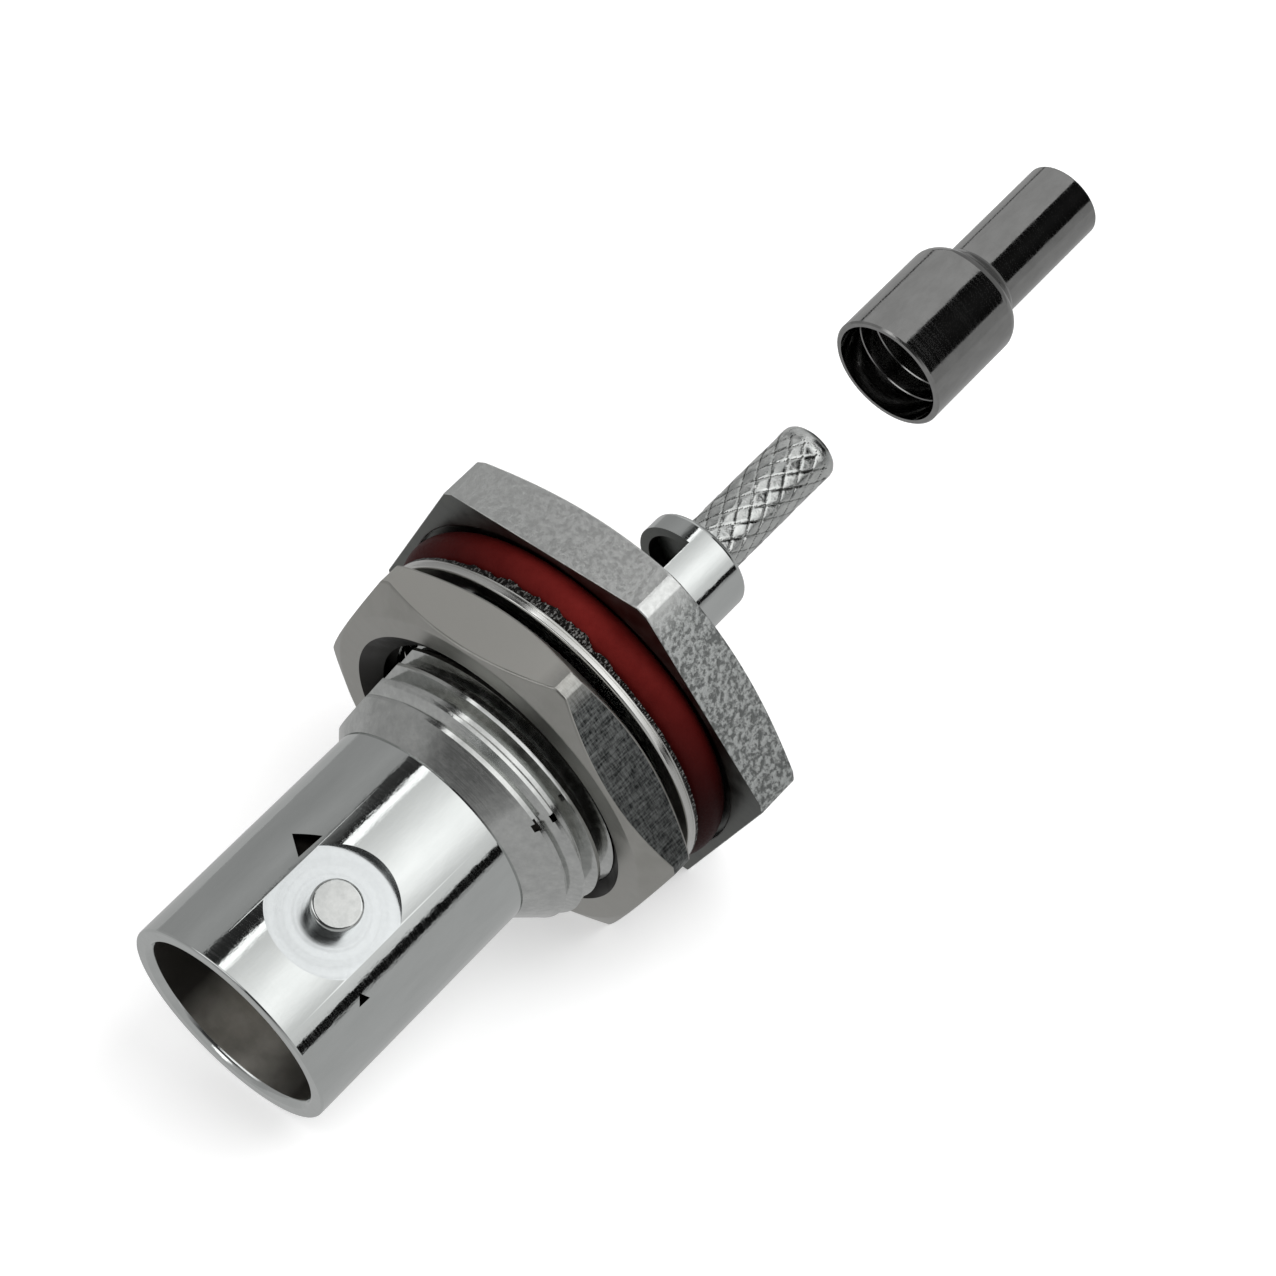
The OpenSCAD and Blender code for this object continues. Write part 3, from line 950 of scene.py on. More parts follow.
# %% Studs
def make_studs():
    root = mouth_r + 0.2
    bm = turned(
        [(0, root), (stud_r, root), (stud_r, stud_reach), (0, stud_reach)],
        rounds=[(2, 0.15)],
        steps=96,
    )
    bmesh.ops.transform(bm, matrix=stud_side(0), verts=bm.verts[:])
    other = bmesh.ops.duplicate(bm, geom=bm.verts[:] + bm.edges[:] + bm.faces[:])["geom"]
    other_verts = [item for item in other if isinstance(item, bmesh.types.BMVert)]
    half_turn = Matrix.Rotation(math.pi, 3, "Z")
    bmesh.ops.rotate(bm, cent=(0, 0, 0), matrix=half_turn, verts=other_verts)
    bmesh.ops.translate(bm, vec=(0, 0, stud_z), verts=bm.verts[:])
    studs = make_object(bm, "studs")
    finish_piece(studs, "connector", "body_shell", [bright_nickel, machined_nickel])
    end = stud_reach - 0.01
    mark_faces(studs, 1, lambda place, normal: abs(normal.z) < 0.1 and place.xy.length > end)
    return studs


studs = make_studs()

# %% [markdown]
# ## A screw thread
# A thread is one V-shaped profile swept round the axis while it climbs one pitch a turn. Spin does
# this with its step vector. The same thread, a little larger, is the tap that cuts the nut, so the
# two mesh with each other, and stay in mesh when the nut turns and climbs.

# %% Threaded bar
def threaded_bar(crest_r, root_r, low, high, steps_per_turn=120):
    """A solid threaded bar between two heights. It starts a whole number of pitches from the origin."""
    bm = bmesh.new()
    crest_half = thread_pitch / 12
    root_half = thread_pitch / 10
    start_z = (math.floor(low / thread_pitch) - 2) * thread_pitch
    turns = math.ceil((high - start_z) / thread_pitch) + 1
    profile = [
        (root_r, 0),
        (root_r, root_half),
        (crest_r, thread_pitch / 2 - crest_half),
        (crest_r, thread_pitch / 2 + crest_half),
        (root_r, thread_pitch - root_half),
        (root_r, thread_pitch),
    ]
    corners = [bm.verts.new((r, 0, start_z + z)) for r, z in profile]
    for here, there in zip(corners, corners[1:]):
        bm.edges.new((here, there))
    bmesh.ops.spin(
        bm,
        geom=bm.verts[:] + bm.edges[:],
        cent=(0, 0, 0),
        axis=(0, 0, 1),
        dvec=(0, 0, thread_pitch / steps_per_turn),
        angle=2 * math.pi * turns,
        steps=steps_per_turn * turns,
    )
    bmesh.ops.remove_doubles(bm, verts=bm.verts[:], dist=1e-3)
    slice_off(bm, (0, 0, low), (0, 0, -1))
    slice_off(bm, (0, 0, high), (0, 0, 1))
    bmesh.ops.recalc_face_normals(bm, faces=bm.faces[:])
    return bm


# %% [markdown]
# ## Thread and cone
# Behind the barrel the body widens over a cone to the panel thread. One flat is milled along the
# thread, so that the connector can't turn in its panel. The threaded bar is trimmed by a turned
# outline, sliced by the flat, and bored for the insulator. Two square punches dent its crests.

# %% Thread and cone
# The dents: angle round the thread, in degrees, and height.
thread_dents = [(-119.9, 7.14), (-119.6, 6.45)]
dent_half = 0.17


def in_a_dent(place, normal):
    """The flat walls and floor of a punched dent, which look square to it. They wear painted shade."""
    for angle, z in thread_dents:
        across = Vector((-math.sin(math.radians(angle)), math.cos(math.radians(angle)), 0))
        outward = Vector((across.y, -across.x, 0))
        reach = dent_half + 0.01
        near = abs(place.z - z) < reach and abs(place.dot(across)) < reach and place.y < 0
        squarely = max(abs(normal.dot(axis)) for axis in (across, outward, Vector((0, 0, 1))))
        if near and squarely > 0.999:
            return True
    return False


def make_thread():
    thread = make_object(
        threaded_bar(thread_r, thread_r - thread_depth, seat_floor_z, cone_top_z + 0.5), "thread"
    )
    trim = turned(
        [
            (0, seat_floor_z - 0.01),
            (thread_r + 0.1, seat_floor_z - 0.01),
            (thread_r + 0.1, cone_low_z - thread_r - 0.1 + cone_r),
            (cone_r, cone_low_z),
            (barrel_r, cone_top_z),
            (0, cone_top_z),
        ],
        rounds=[(3, 0.06)],
        steps=240,
    )
    cut(thread, make_object(trim, "trim"), "INTERSECT")
    bm = bmesh.new()
    bm.from_mesh(thread.data)
    slice_off(bm, (thread_flat_x, 0, 0), (1, 0, 0))
    bmesh.ops.recalc_face_normals(bm, faces=bm.faces[:])
    bm.to_mesh(thread.data)
    bm.free()
    bore = make_bar(insulator_bore_r, seat_floor_z - 1, cone_top_z + 1)
    cut(thread, make_object(bore, "bore"))
    for angle, z in thread_dents:
        punch = make_bar(dent_half * math.sqrt(2), thread_r - thread_depth, thread_r + 1, segments=4)
        square_up = Matrix.Rotation(math.pi / 4, 4, "Z")
        outward = Matrix.Rotation(math.radians(angle) + math.pi / 2, 4, "Z")
        outward = outward @ Matrix.Rotation(math.pi / 2, 4, "X") @ square_up
        set_in_place(punch, outward, (0, 0, z))
        cut(thread, make_object(punch, "punch"))
    finishes = [machined_nickel, sink_shade_nickel]
    finish_piece(thread, "connector", "body_shell", finishes, sharp=25)
    # The dents wear painted shade, nearly black.
    mark_faces(thread, 1, in_a_dent)
    return thread


thread = make_thread()

# %% [markdown]
# ## A hexagon
# Hexagon bar is turned to a chamfered disc and keeps its six flats. Here it goes the other way round:
# a chamfered disc is spun, and six planes slice the flats off it. That gives the curved edges
# where a flat meets a chamfer.

# %% Six flats
def slice_flats(bm, flat_distance):
    """Slice six flats off a disc, with a corner pointing to -Y."""
    for number in range(6):
        angle = number * math.pi / 3
        outward = Vector((math.cos(angle), math.sin(angle), 0))
        slice_off(bm, outward * flat_distance, outward)
    bmesh.ops.recalc_face_normals(bm, faces=bm.faces[:])


def blank_radii(flat_distance):
    """The radii of a hexagon's turned blank: of its outside, and of its chamfered face."""
    return flat_distance / math.cos(math.pi / 6) - 0.15, flat_distance - 0.12

# %% [markdown]
# ## The flange
# The hexagon flange clamps the panel from behind. Its back is chamfered, its front is flat with a
# shallow seat for the sealing ring.

# %% Flange
def make_flange():
    corner_r, face_r = blank_radii(flange_flat)
    back_chamfer = (corner_r - face_r) * math.tan(math.radians(20))
    seat_r = ring_outer_r + 0.05
    bm = turned(
        [
            (spigot_bore_r, flange_back_z),
            (face_r, flange_back_z),
            (corner_r, flange_back_z + back_chamfer),
            (corner_r, 0),
            (seat_r, 0),
            (seat_r, seat_floor_z),
            (spigot_bore_r, seat_floor_z),
        ],
        rounds=[(4, 0.06)],
        steps=360,
    )
    slice_flats(bm, flange_flat)
    soften(bm, 0.1, keep=lambda edge: edge.verts[0].co.xy.length > face_r - 0.01)
    flange = make_object(bm, "flange")
    finish_piece(flange, "connector", "body_shell", [blasted_nickel, seat_shade_nickel])
    # The front face and the ring's seat wear painted shade, where the ring, washer and nut shadow them.
    mark_faces(flange, 1, lambda place, normal: normal.z > 0.9)
    return flange


flange = make_flange()

# %% [markdown]
# ## The panel nut
# The nut is a hexagon too, chamfered on both faces. A tap cuts its thread and a countersink opens
# both ends of the hole.

# %% Panel nut
def make_nut():
    corner_r, face_r = blank_radii(nut_flat)
    chamfer = (corner_r - face_r) * math.tan(math.radians(30))
    bm = turned(
        [
            (0, nut_low_z),
            (face_r, nut_low_z),
            (corner_r, nut_low_z + chamfer),
            (corner_r, nut_top_z - chamfer),
            (face_r, nut_top_z),
            (0, nut_top_z),
        ],
        steps=360,
    )
    slice_flats(bm, nut_flat)
    soften(bm, 0.07)
    nut = make_object(bm, "nut")
    tap_r = thread_r + 0.06
    tap = threaded_bar(tap_r, tap_r - thread_depth + 0.05, nut_low_z - 0.5, nut_top_z + 0.5)
    cut(nut, make_object(tap, "tap"))
    sink_r = tap_r + 0.46
    middle_z = (nut_low_z + nut_top_z) / 2
    sink_depth = 0.65
    root_r = tap_r - thread_depth
    sinks = turned(
        [
            (0, nut_low_z - 1),
            (sink_r, nut_low_z - 1),
            (sink_r, nut_low_z),
            (root_r, nut_low_z + sink_depth),
            (0.5, middle_z),
            (root_r, nut_top_z - sink_depth),
            (sink_r, nut_top_z),
            (sink_r, nut_top_z + 1),
            (0, nut_top_z + 1),
        ],
        steps=240,
    )
    cut(nut, make_object(sinks, "countersink"))
    finishes = [satin_nickel, streaks_and_shade_nickel, machined_nickel, sink_shade_nickel]
    finish_piece(nut, "nut", "panel_nut", finishes)
    return nut


nut = make_nut()

# %% Finishes of the nut
mark_faces(
    nut, 1, lambda place, normal: abs(normal.z) < 0.02 and place.xy.length > nut_flat - 0.5
)
# The countersinks and the thread's flanks wear painted shade, nearly black; the crests keep machined
# nickel.
mark_faces(nut, 3, lambda place, normal: place.xy.length < thread_r + 0.5)
mark_faces(nut, 2, lambda place, normal: place.xy.length < thread_r - 0.4)

# %% [markdown]
# ## The lock washer
# The washer is stamped from sheet. Its rim is smooth above, torn below, and a thin ragged burr hangs
# from its lower edge. Sixteen teeth point inwards and are twisted, so that they bite. The torn band,
# the burr and the teeth wear the torn metal's painted shade.

# %% Lock washer
washer_t = 0.6
rim_in_r = washer_r - 0.9
tooth_w = 1.5
tooth_t = 0.42
tooth_twist = math.radians(14)


def is_torn_or_shaded(place, normal):
    """The lower band of the rim, and the teeth, which wear painted shade."""
    reach = place.xy.length
    return reach < rim_in_r + 0.05 or (reach > washer_r - 0.13 and place.z < washer_z + 0.2)


def make_washer():
    top_z = washer_z + washer_t
    bm = turned(
        [
            (rim_in_r, washer_z),
            (washer_r - 0.12, washer_z),
            (washer_r - 0.02, washer_z + 0.2),
            (washer_r - 0.02, washer_z + 0.27),
            (washer_r - 0.06, washer_z + 0.3),
            (washer_r, washer_z + 0.34),
            (washer_r, top_z),
            (rim_in_r, top_z),
        ],
        rounds=[(6, 0.12), (7, 0.05)],
        steps=360,
    )
    tooth_mid_z = washer_z + (tooth_w * math.sin(tooth_twist) + tooth_t * math.cos(tooth_twist)) / 2
    for number in range(16):
        made = bmesh.ops.create_cube(bm, size=1)["verts"]
        tip_r = thread_r + 0.15
        length = rim_in_r + 0.2 - tip_r
        bmesh.ops.scale(bm, vec=(length, tooth_w, tooth_t), verts=made)
        root = [corner for corner in made if corner.co.x > 0]
        bmesh.ops.scale(bm, vec=(1, 0.5, 0.8), verts=root)
        bmesh.ops.translate(bm, vec=(0, 0, -0.1), verts=root)
        twist = Matrix.Rotation(tooth_twist, 3, "X")
        bmesh.ops.rotate(bm, cent=(0, 0, 0), matrix=twist, verts=made)
        bmesh.ops.translate(bm, vec=(tip_r + length / 2, 0, tooth_mid_z), verts=made)
        around = Matrix.Rotation(number * math.pi / 8, 3, "Z")
        bmesh.ops.rotate(bm, cent=(0, 0, 0), matrix=around, verts=made)
    washer = make_object(bm, "washer")
    finish_piece(washer, "washer", "lock_washer", [washer_nickel, torn_shaded_nickel])
    mark_faces(washer, 1, is_torn_or_shaded)
    return washer


washer = make_washer()


# %% Ragged burr
def make_burr():
    """A thin skirt under the washer's edge, which hangs down raggedly on one side only."""
    torn_side = math.radians(-70)
    outer_r = washer_r - 0.05
    bm = turned(
        [
            (outer_r - 0.1, washer_z + 0.15),
            (outer_r, washer_z + 0.15),
            (outer_r, washer_z + 0.02),
            (outer_r - 0.03, washer_z - 0.04),
            (outer_r - 0.1, washer_z - 0.04),
        ],
        steps=720,
    )
    for corner in bm.verts:
        angle = math.atan2(corner.co.y, corner.co.x)
        around = Vector((math.cos(angle), math.sin(angle), 0))
        ragged = 0.5 + noise.noise(around * 14)
        fine = noise.noise(around * 60 + Vector((0, 0, 5 + corner.co.z * 9)))
        one_side = max(0.0, math.cos(angle - torn_side)) ** 8
        if corner.co.z < washer_z:
            corner.co.z += 0.09 * (1 - one_side)
            corner.co.z -= one_side * max(0.0, 0.3 * ragged + 0.1 * fine)
        corner.co.xy *= 1 + 0.004 * fine
    burr = make_object(bm, "burr")
    # The burr wears the torn metal's painted shade.
    finish_piece(burr, "washer", "lock_washer", [torn_shaded_nickel])
    return burr


burr = make_burr()

# %% [markdown]
# ## The sealing ring
# The ring is moulded rubber of round section, so a circle is spun round the axis.

# %% Sealing ring
def make_sealing_ring():
    section_r = (ring_top_z - ring_low_z) / 2
    bm = bmesh.new()
    upright = Matrix.Rotation(math.pi / 2, 4, "X")
    bmesh.ops.create_circle(bm, segments=48, radius=section_r, matrix=upright)
    middle = (ring_outer_r - section_r, 0, ring_low_z + section_r)
    bmesh.ops.translate(bm, vec=middle, verts=bm.verts[:])
    spin_round(bm, 240)
    ring = make_object(bm, "rubber_ring")
    finish_piece(ring, "connector", "sealing_ring", [red_rubber], sharp=60)
    return ring


rubber_ring = make_sealing_ring()

# %% [markdown]
# ## The neck
# The crimp body is pressed into the flange. Its neck is a thin tube, and a window is cut into one
# side of it, through which the cable's core is soldered to the contact.

# %% Neck
def make_block(size, middle):
    """A plain block, for cutting windows and slots."""
    bm = bmesh.new()
    bmesh.ops.create_cube(bm, size=1)
    bmesh.ops.scale(bm, vec=size, verts=bm.verts[:])
    bmesh.ops.translate(bm, vec=middle, verts=bm.verts[:])
    return bm


def make_neck():
    window_x = 0.75
    bore_end_z = neck_end_z + 0.45
    window_end_z = neck_end_z + 1.05
    bm = turned(
        [
            (neck_bore_r, spigot_top_z),
            (spigot_r, spigot_top_z),
            (spigot_r, flange_back_z),
            (neck_r, flange_back_z),
            (neck_r, neck_end_z),
            (stem_bore_r, neck_end_z),
            (stem_bore_r, bore_end_z),
            (neck_bore_r, bore_end_z),
        ],
        rounds=[(4, 0.25)],
        steps=192,
    )
    neck = make_object(bm, "neck")
    window_top_z = flange_back_z - 0.3
    size = (4, 8, window_top_z - window_end_z)
    window = make_block(size, (window_x + 2, 0, (window_top_z + window_end_z) / 2))
    cut(neck, make_object(window, "window_mill"))
    finish_piece(neck, "connector", "crimp_body", [bright_nickel, seat_shade_nickel])
    # The bore and its floor wear painted shade.
    mark_bore(neck, 1, neck_bore_r + 0.01)
    mark_faces(neck, 1, lambda place, normal: abs(place.z - bore_end_z) < 0.01)
    return neck


neck = make_neck()

# %% [markdown]
# ## The knurled stem
# Crossed spiral grooves grip the cable's braid. The stem is spun from an outline whose outer edge is
# finely divided, and each point on the knurl is then pressed in by the depth of the nearer groove.
# Each diamond between the grooves leans its own way, as rolled ones do, and the grooves wear painted
# shade.
# Blender starts its vector noise from the clock, so the lean gets a seed, to be the same each time.

# %% Stem
knurl_starts = 12
knurl_lead = 2 * math.pi * stem_r / math.tan(math.radians(33))
knurl_depth = 0.04
knurl_end_z = stem_end_z + 0.65
groove_half = 0.09
diamond_step = 1.37
knurl_seed = 1795457112
noise.seed_set(knurl_seed)


def angle_of(place):
    """The angle of a place round the axis."""
    return math.atan2(place.y, place.x)


def knurl_places(place):
    """Where a point lies across the two crossed sets of grooves. Whole numbers are grooves."""
    turns = angle_of(place) / (2 * math.pi)
    return [knurl_starts * (turns + hand * place.z / knurl_lead) for hand in (1, -1)]


def knurl_drop(place):
    """How far the knurl lies under the stem's surface: deep in a groove, and each diamond leans a bit.
    """
    places = knurl_places(place)
    groove = max(max(0.0, 1 - abs(spot - round(spot)) / groove_half) for spot in places)
    diamond = Vector([math.floor(spot) % knurl_starts + 0.5 for spot in places] + [0.5])
    lean = noise.noise_vector(diamond * diamond_step)
    across, along = [spot - math.floor(spot) - 0.5 for spot in places]
    drop = 0.016 + 0.08 * (lean.x * across + lean.y * along)
    return max(0.0, drop) + knurl_depth * groove


def in_a_groove(place, normal):
    """The bottoms of the knurl's grooves."""
    on_knurl = place.z > knurl_end_z and place.xy.length > stem_r - 0.2
    return on_knurl and min(abs(spot - round(spot)) for spot in knurl_places(place)) < 0.03


def make_stem():
    bm = bmesh.new()
    outline(
        bm,
        [
            (stem_bore_r, neck_end_z + 0.05),
            (stem_r, neck_end_z + 0.05),
            (stem_r, stem_end_z),
            (stem_bore_r, stem_end_z),
        ],
        rounds=[(2, 0.35)],
    )
    bm.edges.ensure_lookup_table()
    outer = [edge for edge in bm.edges if edge.verts[0].co.x > 1]
    longest = max(outer, key=lambda edge: edge.calc_length())
    bmesh.ops.subdivide_edges(bm, edges=[longest], cuts=76)
    spin_round(bm, 192)
    for corner in bm.verts:
        on_skin = abs(corner.co.xy.length - stem_r) < 1e-3
        if on_skin and knurl_end_z < corner.co.z:
            run_out = min(1.0, (corner.co.z - knurl_end_z) / 0.15)
            depth = run_out * knurl_drop(corner.co)
            corner.co.xy *= (stem_r - depth) / stem_r
    stem = make_object(bm, "knurled_stem")
    finishes = [knurled_nickel, seat_shade_nickel]
    finish_piece(stem, "connector", "crimp_body", finishes, sharp=60)
    # the grooves' bottoms wear painted shade
    mark_faces(stem, 1, in_a_groove)
    return stem


stem = make_stem()

# %% [markdown]
# ## Insulator and contact
# Deep in the mouth stands the white nose of the insulator, and in it the slotted gold socket that
# takes the plug's pin.

# %% Front insulator
def make_insulator():
    body_top_z = plug_floor_z - 0.6
    nose_r = 2.4
    hole_r = 1.105
    collar_r = 1.48
    collar_z = insulator_low_z + 1.23
    bm = turned(
        [
            (collar_r, insulator_low_z),
            (insulator_r, insulator_low_z),
            (insulator_r, body_top_z),
            (nose_r, body_top_z),
            (nose_r, nose_z),
            (hole_r, nose_z),
            (hole_r, collar_z),
            (collar_r, collar_z),
        ],
        rounds=[(4, 0.15), (5, 0.12), (2, 0.1)],
        steps=144,
    )
    piece = make_object(bm, "insulator_nose")
    finish_piece(piece, "connector", "front_insulator", [white_ptfe])
    return piece


insulator = make_insulator()


# %% Centre contact
def make_contact():
    cup_r = 0.375
    cup_z = contact_low_z + 1.8
    tail_r = 0.6
    collar_r = 1.45
    collar_low_z = insulator_low_z
    collar_top_z = insulator_low_z + 1.2
    socket_r = 1.075
    pin_r = 0.7
    pin_depth = 5.2
    slot_depth = 0.8 * pin_depth
    bm = turned(
        [
            (0, cup_z),
            (cup_r, cup_z),
            (cup_r, contact_low_z),
            (tail_r, contact_low_z),
            (tail_r, collar_low_z),
            (collar_r, collar_low_z),
            (collar_r, collar_top_z),
            (socket_r, collar_top_z),
            (socket_r, socket_z),
            (pin_r, socket_z),
            (pin_r, socket_z - pin_depth),
            (0, socket_z - pin_depth),
        ],
        rounds=[(9, 0.18), (8, 0.1), (5, 0.08), (6, 0.08)],
        steps=96,
    )
    piece = make_object(bm, "socket_contact")
    for angle in (math.pi / 4, 3 * math.pi / 4):
        slot = make_block((6, 0.2, slot_depth + 1), (0, 0, socket_z + 0.5 - slot_depth / 2))
        around = Matrix.Rotation(angle, 3, "Z")
        bmesh.ops.rotate(slot, cent=(0, 0, 0), matrix=around, verts=slot.verts[:])
        cut(piece, make_object(slot, "slot_saw"))
    finish_piece(piece, "connector", "centre_contact", [gold_plate])
    return piece


contact = make_contact()

# %% [markdown]
# The rear insulator can't be seen once the jack is put together, and its solid has the right shape,
# so it stays as it is and takes the white plastic.

# %% Rear insulator
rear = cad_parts["rear_insulator"]
for material_slot in rear.material_slots:
    material_slot.material = white_ptfe
print("Rear insulator wears", rear.material_slots[0].material.name)

# %% [markdown]
# ## The crimp ferrule
# The ferrule is a stepped tube: a cup that goes over the neck, a rounded shoulder and a narrower
# tube that is crimped onto the cable's braid. The boring tool left fine ridges inside the cup.

# %% Ferrule
def make_ferrule():
    cup_r = 2.49
    tube_r = 1.85
    bore_r = 1.55
    floor_z = ferrule_rim_z - 5.1
    step_z = floor_z - 0.3
    taper_z = floor_z - 1.0
    points = [
        (ferrule_r - 0.08, ferrule_rim_z),
        (ferrule_r, ferrule_rim_z - 0.08),
        (ferrule_r, step_z),
        (tube_r + 0.3, taper_z + 0.15),
        (tube_r, taper_z - 0.3),
        (tube_r, ferrule_end_z),
        (bore_r, ferrule_end_z),
        (bore_r, floor_z),
        (cup_r, floor_z),
    ]
    for number in range(4):
        z = floor_z + 0.9 + number * 0.95
        points += [(cup_r, z - 0.03), (cup_r - 0.035, z - 0.01), (cup_r, z + 0.03)]
    points.append((cup_r, ferrule_rim_z))
    bm = turned(points, rounds=[(2, 0.3), (3, 0.25), (5, 0.08), (6, 0.04)], steps=240)
    ferrule = make_object(bm, "ferrule_tube")
    finish_piece(ferrule, "ferrule", "crimp_ferrule", [dark_nickel], sharp=35)
    return ferrule


ferrule = make_ferrule()

# %% [markdown]
# ## The floor
# The jack lies on one flat of its flange and on the rim of its mouth, so the floor is the plane
# through both. It is white for the camera and in reflections, and keeps the soft shadow. Seen from
# behind it is clear, so that the connector can be looked at from every side.

# %% Floor
def lying_plane():
    """The floor's point and upward normal, from the flat and the rim that touch it."""
    downward = -Vector((math.sin(math.pi / 6), -math.cos(math.pi / 6), 0))
    flat_point = downward * flange_flat + Vector((0, 0, flange_back_z + 0.5))
    rim_point = downward * barrel_r + Vector((0, 0, mouth_z))
    along = (rim_point - flat_point).normalized()
    sideways = Vector((0, 0, 1)).cross(downward).normalized()
    normal = sideways.cross(along).normalized()
    if normal.dot(downward) > 0:
        normal.negate()
    return flat_point * MM, normal


def bright_rays(tree):
    """A mask that is 1 for camera, glossy and transmission rays, and 0 for diffuse ones."""
    rays = tree.nodes.new("ShaderNodeLightPath")
    mask = math_node(tree, "MAXIMUM", rays.outputs["Is Camera Ray"], rays.outputs["Is Glossy Ray"])
    return math_node(tree, "MAXIMUM", mask, rays.outputs["Is Transmission Ray"])


def make_floor_material():
    material, tree, shader, place = start_material("pale_floor", (0.8, 0.8, 0.8), 0.0, 0.7)
    shader.inputs["Emission Color"].default_value = (1, 1, 1, 1)
    strength = math_node(tree, "MULTIPLY", bright_rays(tree), 0.45)
    tree.links.new(strength, shader.inputs["Emission Strength"])
    clear = tree.nodes.new("ShaderNodeBsdfTransparent")
    sides = tree.nodes.new("ShaderNodeNewGeometry")
    mix = tree.nodes.new("ShaderNodeMixShader")
    tree.links.new(sides.outputs["Backfacing"], mix.inputs[0])
    tree.links.new(shader.outputs[0], mix.inputs[1])
    tree.links.new(clear.outputs[0], mix.inputs[2])
    tree.links.new(mix.outputs[0], tree.nodes["Material Output"].inputs["Surface"])
    return material


floor_point, floor_normal = lying_plane()


def sheet_along_floor(size, point):
    """A square sheet through a point, in the plane of the floor."""
    bm = bmesh.new()
    bmesh.ops.create_grid(bm, x_segments=1, y_segments=1, size=size)
    set_in_place(bm, floor_normal.to_track_quat("Z", "Y").to_matrix().to_4x4(), point)
    return bm


floor = make_object(sheet_along_floor(1.5, floor_point), "floor")
floor.data.materials.append(make_floor_material())
floor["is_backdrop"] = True
print("Floor normal:", [round(value, 3) for value in floor_normal])

# %% [markdown]
# ## The light
# A plain, even world gives the fill. One broad softbox hangs over the connector, and a weaker one
# fills from the left.

# %% World
world = bpy.data.worlds.new("studio")
scene.world = world
world.use_nodes = True
sky = world.node_tree.nodes["Background"]
sky.inputs["Color"].default_value = (1, 1, 1, 1)
seen = bright_rays(world.node_tree)
sky_level = spread(world.node_tree, seen, 0.55, 1.0)
world.node_tree.links.new(sky_level, sky.inputs["Strength"])


# %% Lamps
def add_lamp(name, direction, distance, size, power):
    """A square area lamp that looks at the connector from a direction. Its face is a card.
    Reflections don't show it.
    """
    lamp = bpy.data.objects.new(name, bpy.data.lights.new(name, "AREA"))
    lamp.data.shape = "SQUARE"
    lamp.data.size = size
    lamp.data.energy = power
    outward = Vector(direction).normalized()
    lamp.matrix_world = Matrix.Translation(
        camera_target + outward * distance
    ) @ outward.to_track_quat("Z", "Y").to_matrix().to_4x4()
    lamp.visible_glossy = False
    scene.collection.objects.link(lamp)
    return lamp


add_lamp("overhead_softbox", (0.0, -0.91, -0.41), 0.25, 0.2, 0.35)
add_lamp("left_fill", (0.7, -0.6, 0.2), 0.3, 0.2, 0.12)

# %% [markdown]
# ## Cards for the nickel
# Polished metal is drawn by what stands round it. A photographer puts white, grey and black cards
# round a shiny part. Here they are curved cards round the connector's axis, seen only in reflections.
# Angles are counted from the camera's side, and grow towards -X. Each card's brightness is kept on its
# points, so that one card can fade from bright to dark.

# %% Card material
def make_card_material():
    material = bpy.data.materials.new("card")
    material.use_nodes = True
    tree = material.node_tree
    tree.nodes.remove(tree.nodes["Principled BSDF"])
    level = tree.nodes.new("ShaderNodeAttribute")
    level.attribute_name = "level"
    glow = tree.nodes.new("ShaderNodeEmission")
    tree.links.new(level.outputs["Fac"], glow.inputs["Strength"])
    tree.links.new(glow.outputs[0], tree.nodes["Material Output"].inputs["Surface"])
    material.cycles.emission_sampling = "NONE"
    return material


card_material = make_card_material()
card_radius = 60


def hang_card(bm, name, level_at):
    """Make a card of a bmesh. level_at gives the brightness at a point, in millimetres."""
    card = make_object(bm, name)
    level = card.data.attributes.new("level", "FLOAT", "POINT")
    for point, value in zip(card.data.vertices, level.data):
        value.value = level_at(point.co)
    card.data.transform(Matrix.Scale(MM, 4))
    card.data.materials.append(card_material)
    card.visible_camera = False
    card.visible_diffuse = False
    card.visible_shadow = False
    card.visible_transmission = False
    card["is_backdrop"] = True
    print("Card:", name)


def add_card(name, levels, low, high, radius=card_radius):
    """A curved card between two heights. levels is a list of (angle in degrees, brightness)."""
    first, last = levels[0][0], levels[-1][0]
    bm = bmesh.new()
    edge = [bm.verts.new((0, -radius, z)) for z in (low, high)]
    bm.edges.new(edge)
    start = Matrix.Rotation(-math.radians(first), 3, "Z")
    bmesh.ops.rotate(bm, cent=(0, 0, 0), matrix=start, verts=bm.verts[:])
    bmesh.ops.spin(
        bm,
        geom=bm.verts[:] + bm.edges[:],
        cent=(0, 0, 0),
        axis=(0, 0, 1),
        dvec=(0, 0, 0),
        angle=-math.radians(last - first),
        steps=max(1, round(last - first)),
    )
    middle = (first + last) / 2

    def level_at(point):
        angle = math.degrees(math.atan2(-point.x, -point.y))
        angle += 360 * round((middle - angle) / 360)
        for (start_angle, start_level), (end_angle, end_level) in zip(levels, levels[1:]):
            if angle <= end_angle + 0.01:
                share = (angle - start_angle) / (end_angle - start_angle)
                return start_level + share * (end_level - start_level)
        return levels[-1][1]

    hang_card(bm, name, level_at)


# %% [markdown]
# The connector's cards: grey on the left, a dark strip, the white softbox with its brighter middle,
# a black strip and grey again. A thin bright strip lies along the softbox's left edge. Behind the
# connector hangs a paler card, for the views from there. Three small flags, a little nearer than the
# cards, darken what the mouth, the cone and the side of the body reflect.

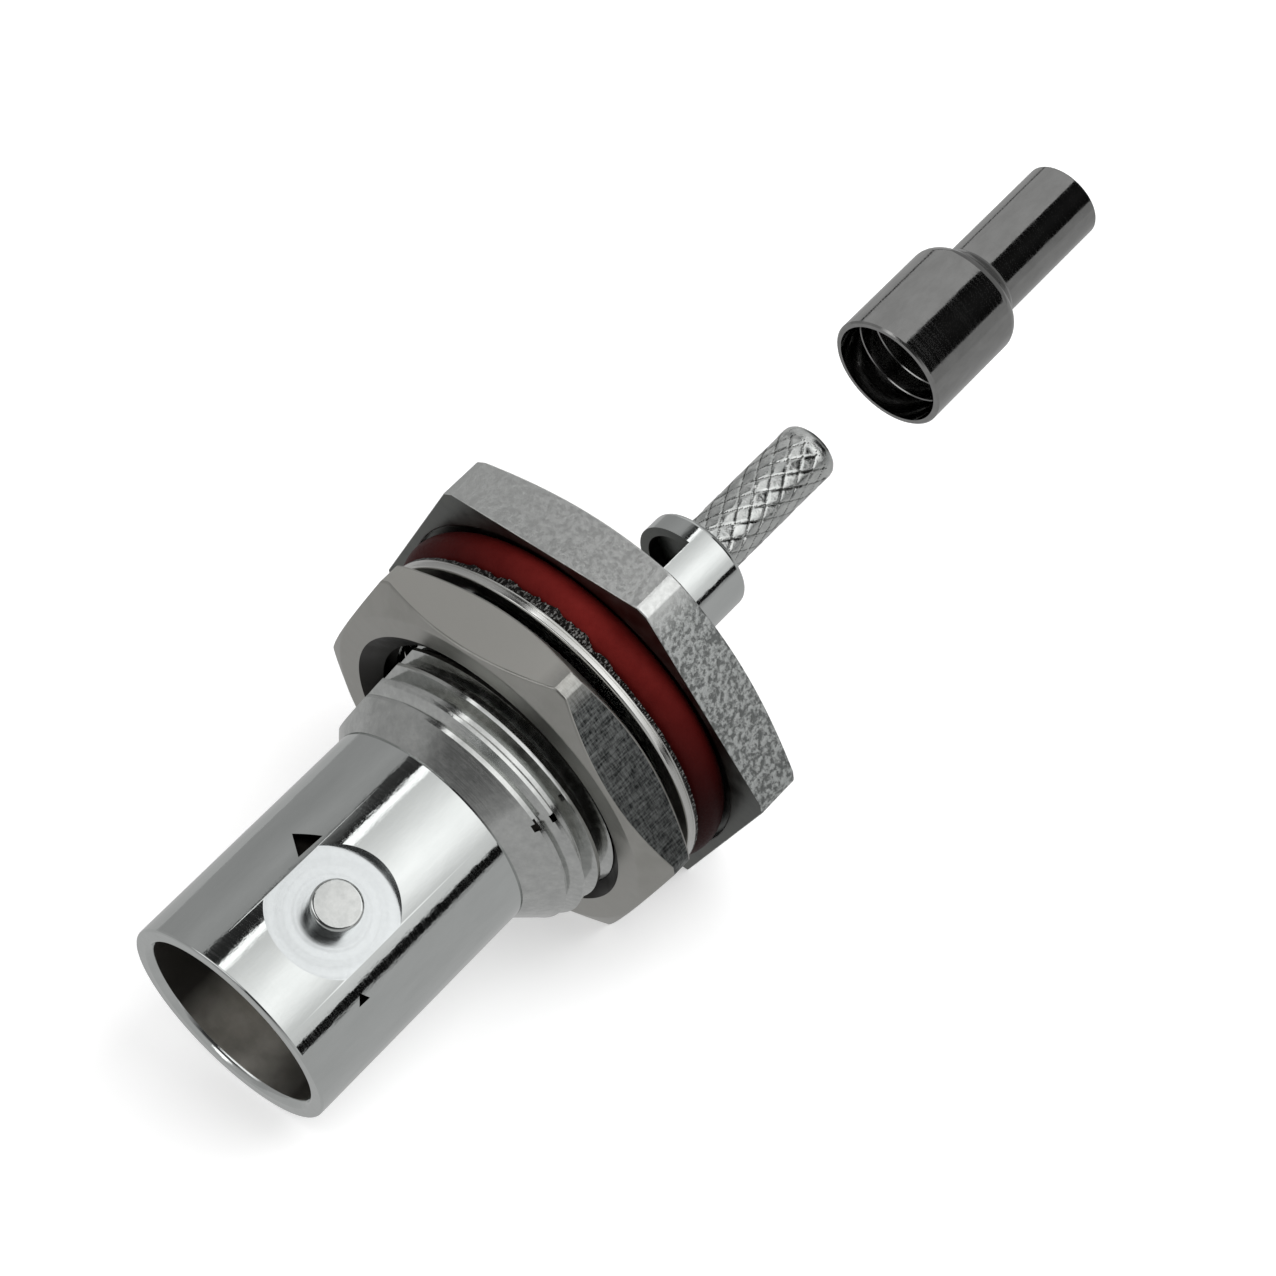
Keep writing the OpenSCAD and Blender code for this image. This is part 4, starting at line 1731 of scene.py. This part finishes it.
# %% Cards round the connector
low_z, high_z = -44, 8
add_card("left_card", [(-145, 0.33), (-100, 0.34), (-75, 0.4), (-60, 0.36)], low_z, high_z)
add_card("left_strip", [(-60, 0.3), (-54, 0.12), (-47, 0.03), (-43, 0.02)], low_z, high_z)
add_card("edge_strip", [(-43, 1.4), (-38, 1.8), (-34, 1.1)], low_z, high_z)
softbox = [(-34, 0.8), (-25, 0.88), (-16, 1.0), (-8, 1.12), (2, 1.32), (14, 1.42), (25, 1.3)]
add_card("softbox", softbox + [(34, 1.08), (42, 0.86), (56, 0.74)], low_z, high_z)
add_card("right_strip", [(56, 0.004), (66, 0.008)], low_z, high_z)
add_card("right_card", [(66, 0.32), (74, 0.46), (100, 0.48), (145, 0.45)], low_z, high_z)
add_card("back_card", [(145, 0.45), (165, 0.9), (195, 0.9), (215, 0.45)], low_z, high_z)
add_card("mouth_flag", [(-60, 0.03), (-47, 0.02)], -1, 5, card_radius - 1)
add_card("cone_flag", [(-59, 0.05), (-48, 0.03)], -13, -8, card_radius - 1)
add_card("side_flag", [(74, 0.2), (84, 0.16)], -15, -8, card_radius - 1)

# %% [markdown]
# The tent above is grey, and darkest in front, over the camera, and its roof is much the same. The
# ferrule has its own cards below the connector's: grey beside it, black in front, and a grey base
# under it. A grey sheet lies just over the floor, because a table's white would wash out the nickel
# that faces it. Two bright cards stand in the tent for the rim of the mouth, which is rounded and so
# mirrors what is high up.

# %% Tent, ferrule cards and table sheet
roof_z, base_z = 90, -110
tent = [(-180, 0.4), (-70, 0.36), (-48, 0.14), (-35, 0.05), (15, 0.05), (40, 0.3), (60, 0.62)]
tent += [(130, 0.6), (180, 0.4)]
add_card("upper_tent", tent, high_z, roof_z)
add_card("ferrule_left", [(-180, 0.5), (-118, 0.56)], base_z, low_z)
add_card("ferrule_line", [(-118, 0.05), (-113, 0.05)], base_z, low_z)
add_card("ferrule_side", [(-113, 0.6), (-14, 0.68)], base_z, low_z)
add_card("ferrule_flag", [(-14, 0.008), (20, 0.02), (55, 0.006)], base_z, low_z)
add_card("ferrule_right", [(55, 0.4), (180, 0.45)], base_z, low_z)


def roof_level(point):
    """Bright in the middle, darker in front, over the camera, and paler on the right."""
    reach = min(1.0, point.xy.length / card_radius)
    in_front = max(0.0, -point.y / card_radius)
    on_right = max(0.0, -point.x / card_radius)
    return 0.6 - 0.25 * reach - 0.3 * in_front + 0.2 * on_right


def hang_sheet(name, z, segments, level_at):
    """A level sheet over or under everything."""
    bm = bmesh.new()
    bmesh.ops.create_grid(bm, x_segments=segments, y_segments=segments, size=card_radius)
    bmesh.ops.translate(bm, vec=(0, 0, z), verts=bm.verts[:])
    hang_card(bm, name, level_at)


hang_sheet("roof", roof_z, 24, roof_level)
hang_sheet("base", base_z, 1, lambda point: 0.3)
over_floor = floor_point / MM + floor_normal * 0.02
hang_card(sheet_along_floor(120, over_floor), "table_sheet", lambda point: 0.47)
add_card("rim_card", [(-75, 0.5), (-60, 1.3), (-25, 1.4), (-10, 0.4)], 30, 58, card_radius - 1)
add_card("rim_glow", [(-78, 0.4), (-60, 1.8), (-20, 2.0), (-6, 0.5)], 58, roof_z - 1, 14)

# %% [markdown]
# ## The size at the end
# The box of the solids and the box of the dressed connector are printed side by side.

# %% Finish
def plain(box):
    return [[float(value) for value in corner] for corner in box]


{"cad": plain(cad_box), "visual": plain(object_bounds())}
print("CAD box:", plain(cad_box))
print("Visual box:", plain(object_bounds()))
